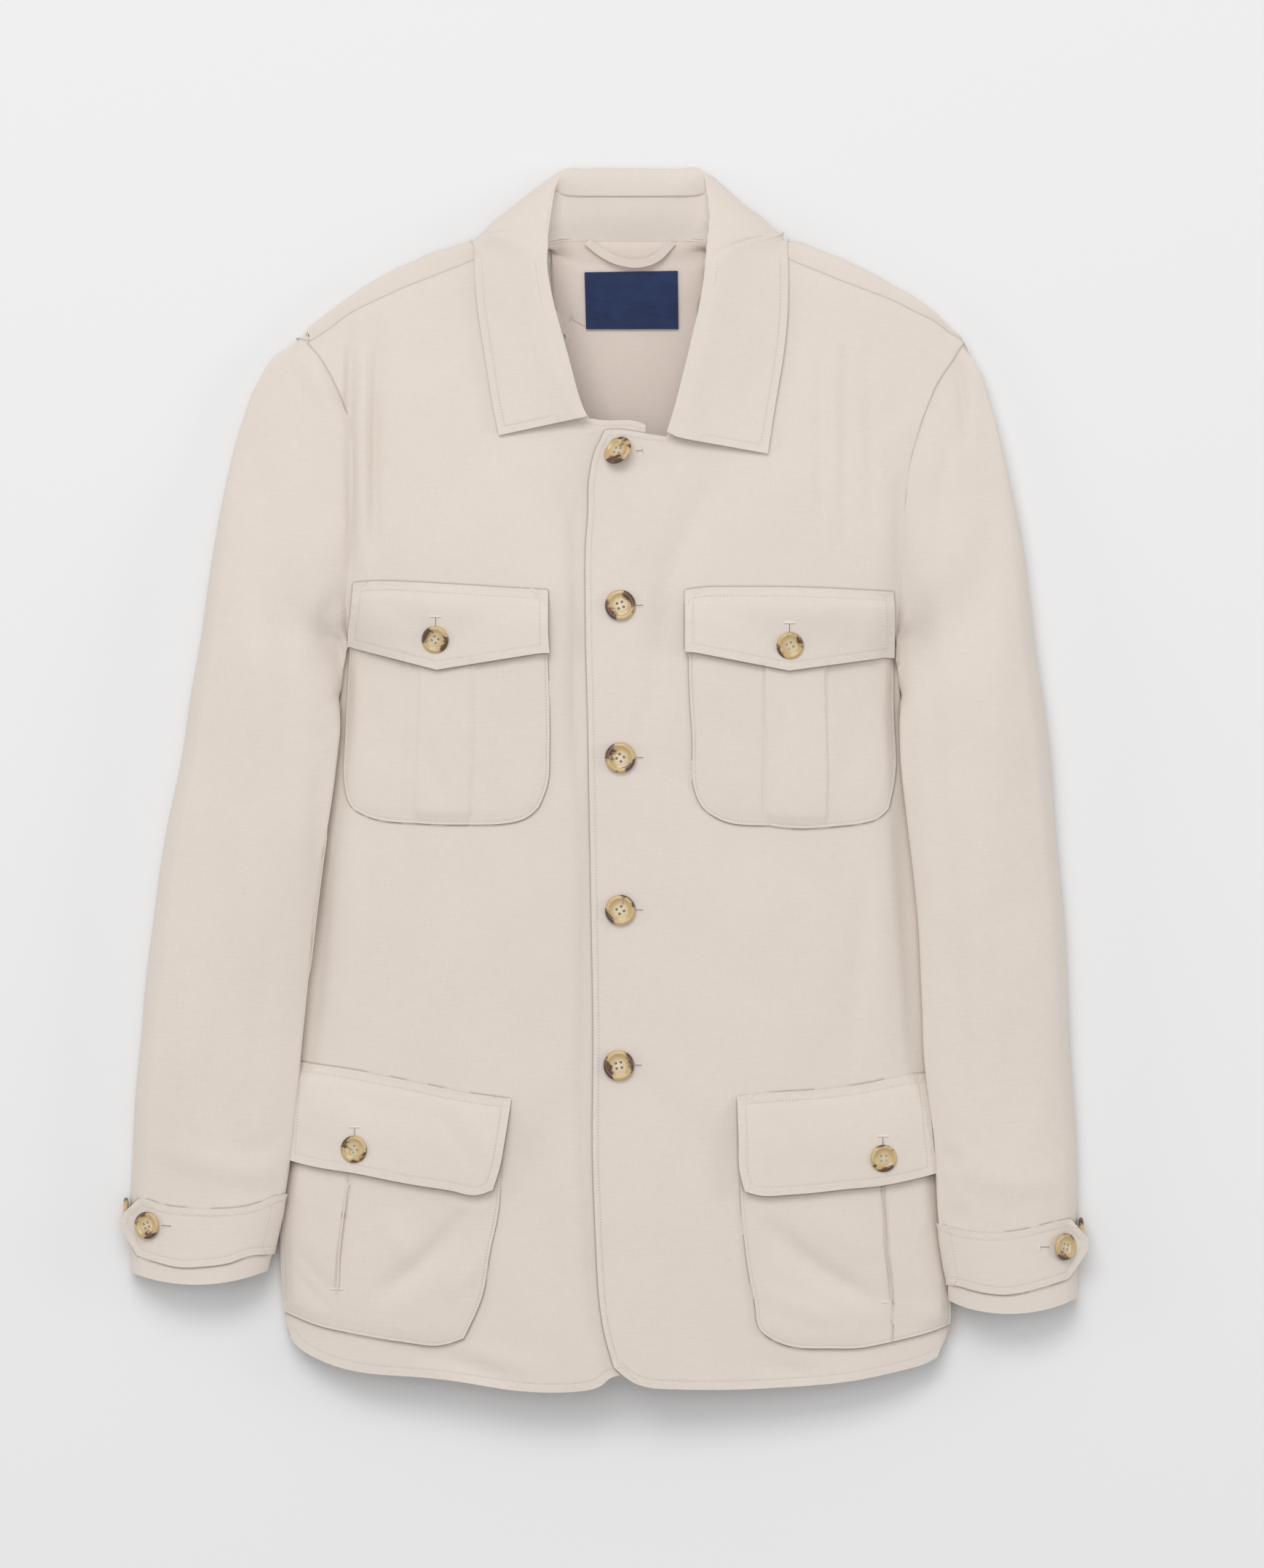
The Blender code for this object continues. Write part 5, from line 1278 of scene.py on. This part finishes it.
def button_shape(name, radius):
    """A turned four-hole button about the origin, its face towards +Z."""
    work = bmesh.new()
    corners = [
        work.verts.new((share * radius * MM, 0, rise * BUTTON_HEIGHT * MM))
        for share, rise in BUTTON_FACE
    ]
    edges = [work.edges.new(pair) for pair in zip(corners, corners[1:])]
    bmesh.ops.spin(
        work, geom=corners + edges, cent=(0, 0, 0), axis=(0, 0, 1), angle=2 * math.pi,
        steps=BUTTON_STEPS, use_merge=True,
    )
    bmesh.ops.remove_doubles(work, verts=work.verts, dist=0.005 * MM)
    bmesh.ops.recalc_face_normals(work, faces=work.faces)
    mesh = bpy.data.meshes.new(name)
    work.to_mesh(mesh)
    work.free()
    piece = placed(name, mesh)
    work = bmesh.new()
    out = BUTTON_HOLES * radius * MM
    bore = BUTTON_HOLE_RADIUS * radius * MM
    for x in (-out, out):
        for y in (-out, out):
            bmesh.ops.create_cone(
                work, cap_ends=True, segments=14, radius1=bore, radius2=bore,
                depth=3 * BUTTON_HEIGHT * MM, matrix=Matrix.Translation((x, y, 0)),
            )
    drill_mesh = bpy.data.meshes.new("drill")
    work.to_mesh(drill_mesh)
    work.free()
    drill = placed("drill", drill_mesh)
    cut = piece.modifiers.new("Holes", "BOOLEAN")
    cut.operation = "DIFFERENCE"
    cut.object = drill
    settle_modifiers(piece)
    bpy.data.objects.remove(drill)
    mesh = piece.data
    flat = points_of(piece)[:, :2] / (radius * MM)
    for label, values in (("radius", np.linalg.norm(flat, axis=1)), ("side", abs(flat[:, 0]))):
        mesh.attributes.new(label, "FLOAT", "POINT").data.foreach_set("value", values)
    bpy.data.objects.remove(piece)
    return mesh


def button_frame(name):
    """Where a CAD button is: the middle of its seat, its facing and its radius."""
    points = points_of(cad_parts[name])
    centre = (points.min(axis=0) + points.max(axis=0)) / 2
    spread = np.linalg.eigh(np.cov((points - points.mean(axis=0)).T))
    facing = spread[1][:, 0]
    outwards = np.array((centre[0], 0, 0)) if name.startswith("spare") else np.array((0, 0, 1))
    if facing @ outwards < 0:
        facing = -facing
    apart = points - centre
    radius = np.max(np.linalg.norm(apart - np.outer(apart @ facing, facing), axis=1))
    depth = np.ptp(points @ facing)
    return centre - facing * depth / 2, facing, radius / MM


BUTTON_TURNS = {
    "front_button_1": 0.5, "front_button_2": 0.15, "front_button_3": -0.4, "front_button_4": 0.7,
    "front_button_5": 0.3, "chest_button_right": 0.2, "chest_button_left": -0.3,
    "hip_button_right": 0.6, "hip_button_left": 0.1, "cuff_button_right": 0.4,
    "cuff_button_left": -0.2, "spare_button_right": 0.0, "spare_button_left": 0.0,
}
# The top front button leans on the edge of the cloth
TILT_AXIS = Vector((0.75, 1.0, 0.0)).normalized()
FRONT_BUTTON_TILT = Matrix.Rotation(math.radians(-38), 3, TILT_AXIS)
shapes = {}
button_threads = []
hole_shade_paths = []
for name, turn in BUTTON_TURNS.items():
    seat, facing, radius = button_frame(name)
    facing = Vector(facing)
    if name == "front_button_1":
        facing = FRONT_BUTTON_TILT @ facing
        seat = seat + np.array((0, 0, FRONT_BUTTON_RISE * MM))
    size = round(float(radius), 1)
    if size not in shapes:
        shapes[size] = button_shape(f"button_{size}", size)
    mesh = shapes[size].copy()
    place = Matrix.Translation(Vector(seat)) @ facing.to_track_quat("Z", "Y").to_matrix().to_4x4()
    place = place @ Matrix.Rotation(turn, 4, "Z")
    mesh.transform(place)
    mesh.materials.append(horn)
    mesh.shade_smooth()
    mesh.set_sharp_from_angle(angle=SHARP_BUTTON)
    button = placed(name + "_turned", mesh)
    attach(button, "root")
    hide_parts(name)
    hole = BUTTON_HOLES * size * MM
    for x in (-hole, hole):
        for y in (-hole, hole):
            levels = [share * BUTTON_HEIGHT * MM for share in SHADE_LEVELS]
            hole_shade_paths.append(np.array([(place @ Vector((x, y, z)))[:] for z in levels]))
        level = THREAD_LEVEL * BUTTON_HEIGHT * MM
        across = [place @ Vector((x, y, level)) for y in np.linspace(-hole, hole, 7)]
        button_threads.append(np.array([point[:] for point in across]))
sew("button_thread", button_threads, thread, 1.0, 1.2, 0.20)
sew("button_hole_shade", hole_shade_paths, slit_shade_finish, 5.0, 0.7, 0.72)


# The label stays bare


LABEL_ROW = ("neck_label", 3, "up", LABEL, 61, 38)
label = fine_sheet(*LABEL_ROW[:4])
settled(label, tree_of(sheets["back"]), 2 * PANEL + 0.3)
sheets["neck_label"] = label
CUTS = {row[0]: row[3:] for row in (*PANELS, *POCKETS, *FLAPS, *SMALL_CLOTH, LABEL_ROW)}
for name, sheet in sheets.items():
    wall, width, length = CUTS[name]
    # The back's inner side takes the inside linen, painted lighter against the shade in the neck
    look = satin if name == "neck_label" else inside if name == "back" else linen
    sheet.data.materials.clear()
    if name == "back":
        sheet.data.materials.append(linen)
    sheet.data.materials.append(look)
    thickened(sheet, wall)
    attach(sheet, "root")
    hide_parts(name)


# Floor, light and camera


def add_floor():
    mesh = bpy.data.meshes.new("floor")
    half = 6.0
    corners = [(-half, -half, 0), (half, -half, 0), (half, half, 0), (-half, half, 0)]
    mesh.from_pydata(corners, [], [(0, 1, 2, 3)])
    floor = placed("floor", mesh)
    made, _, shader, _ = finish("Pale floor", 0.9)
    shader.inputs["Base Color"].default_value = (0.83, 0.83, 0.835, 1)
    shader.inputs["Specular IOR Level"].default_value = 0.1
    mesh.materials.append(made)


def add_light(name, place, size, power):
    """A soft panel that faces the middle of the jacket."""
    light = bpy.data.lights.new(name, "AREA")
    light.shape = "RECTANGLE"
    light.size, light.size_y = size
    light.energy = power
    lamp = placed(name, light)
    lamp.location = place
    lamp.rotation_euler = (-Vector(place)).to_track_quat("-Z", "Y").to_euler()


def add_camera():
    camera = bpy.data.cameras.new("camera")
    camera.sensor_fit = "VERTICAL"
    camera.angle = 2 * math.atan(VIEW_SIZE[1] / 2 / (VIEW_HEIGHT - VIEW_LEVEL))
    camera.clip_end = 100
    eye = placed("camera", camera)
    x, y = (np.array(VIEW_CENTRE) + PLAN_SHIFT) * MM
    eye.location = (x, y, VIEW_HEIGHT * MM)
    bpy.context.scene.camera = eye


add_floor()
add_light("far_panel", (-0.8, 3.2, 4.4), (4.0, 2.2), 118)
add_light("top_panel", (-0.2, 0.3, 4.0), (2.4, 2.4), 30)
add_light("right_panel", (3.4, 0.2, 1.3), (1.6, 0.9), 18)
add_light("left_panel", (-3.4, 0.2, 1.3), (1.6, 0.9), 12)
add_camera()
world = bpy.data.worlds.new("Studio")
world.use_nodes = True
sky = world.node_tree.nodes["Background"]
sky.inputs["Color"].default_value = (1, 1, 1, 1)
sky.inputs["Strength"].default_value = 0.47
bpy.context.scene.world = world
bpy.context.scene.view_settings.view_transform = "Standard"
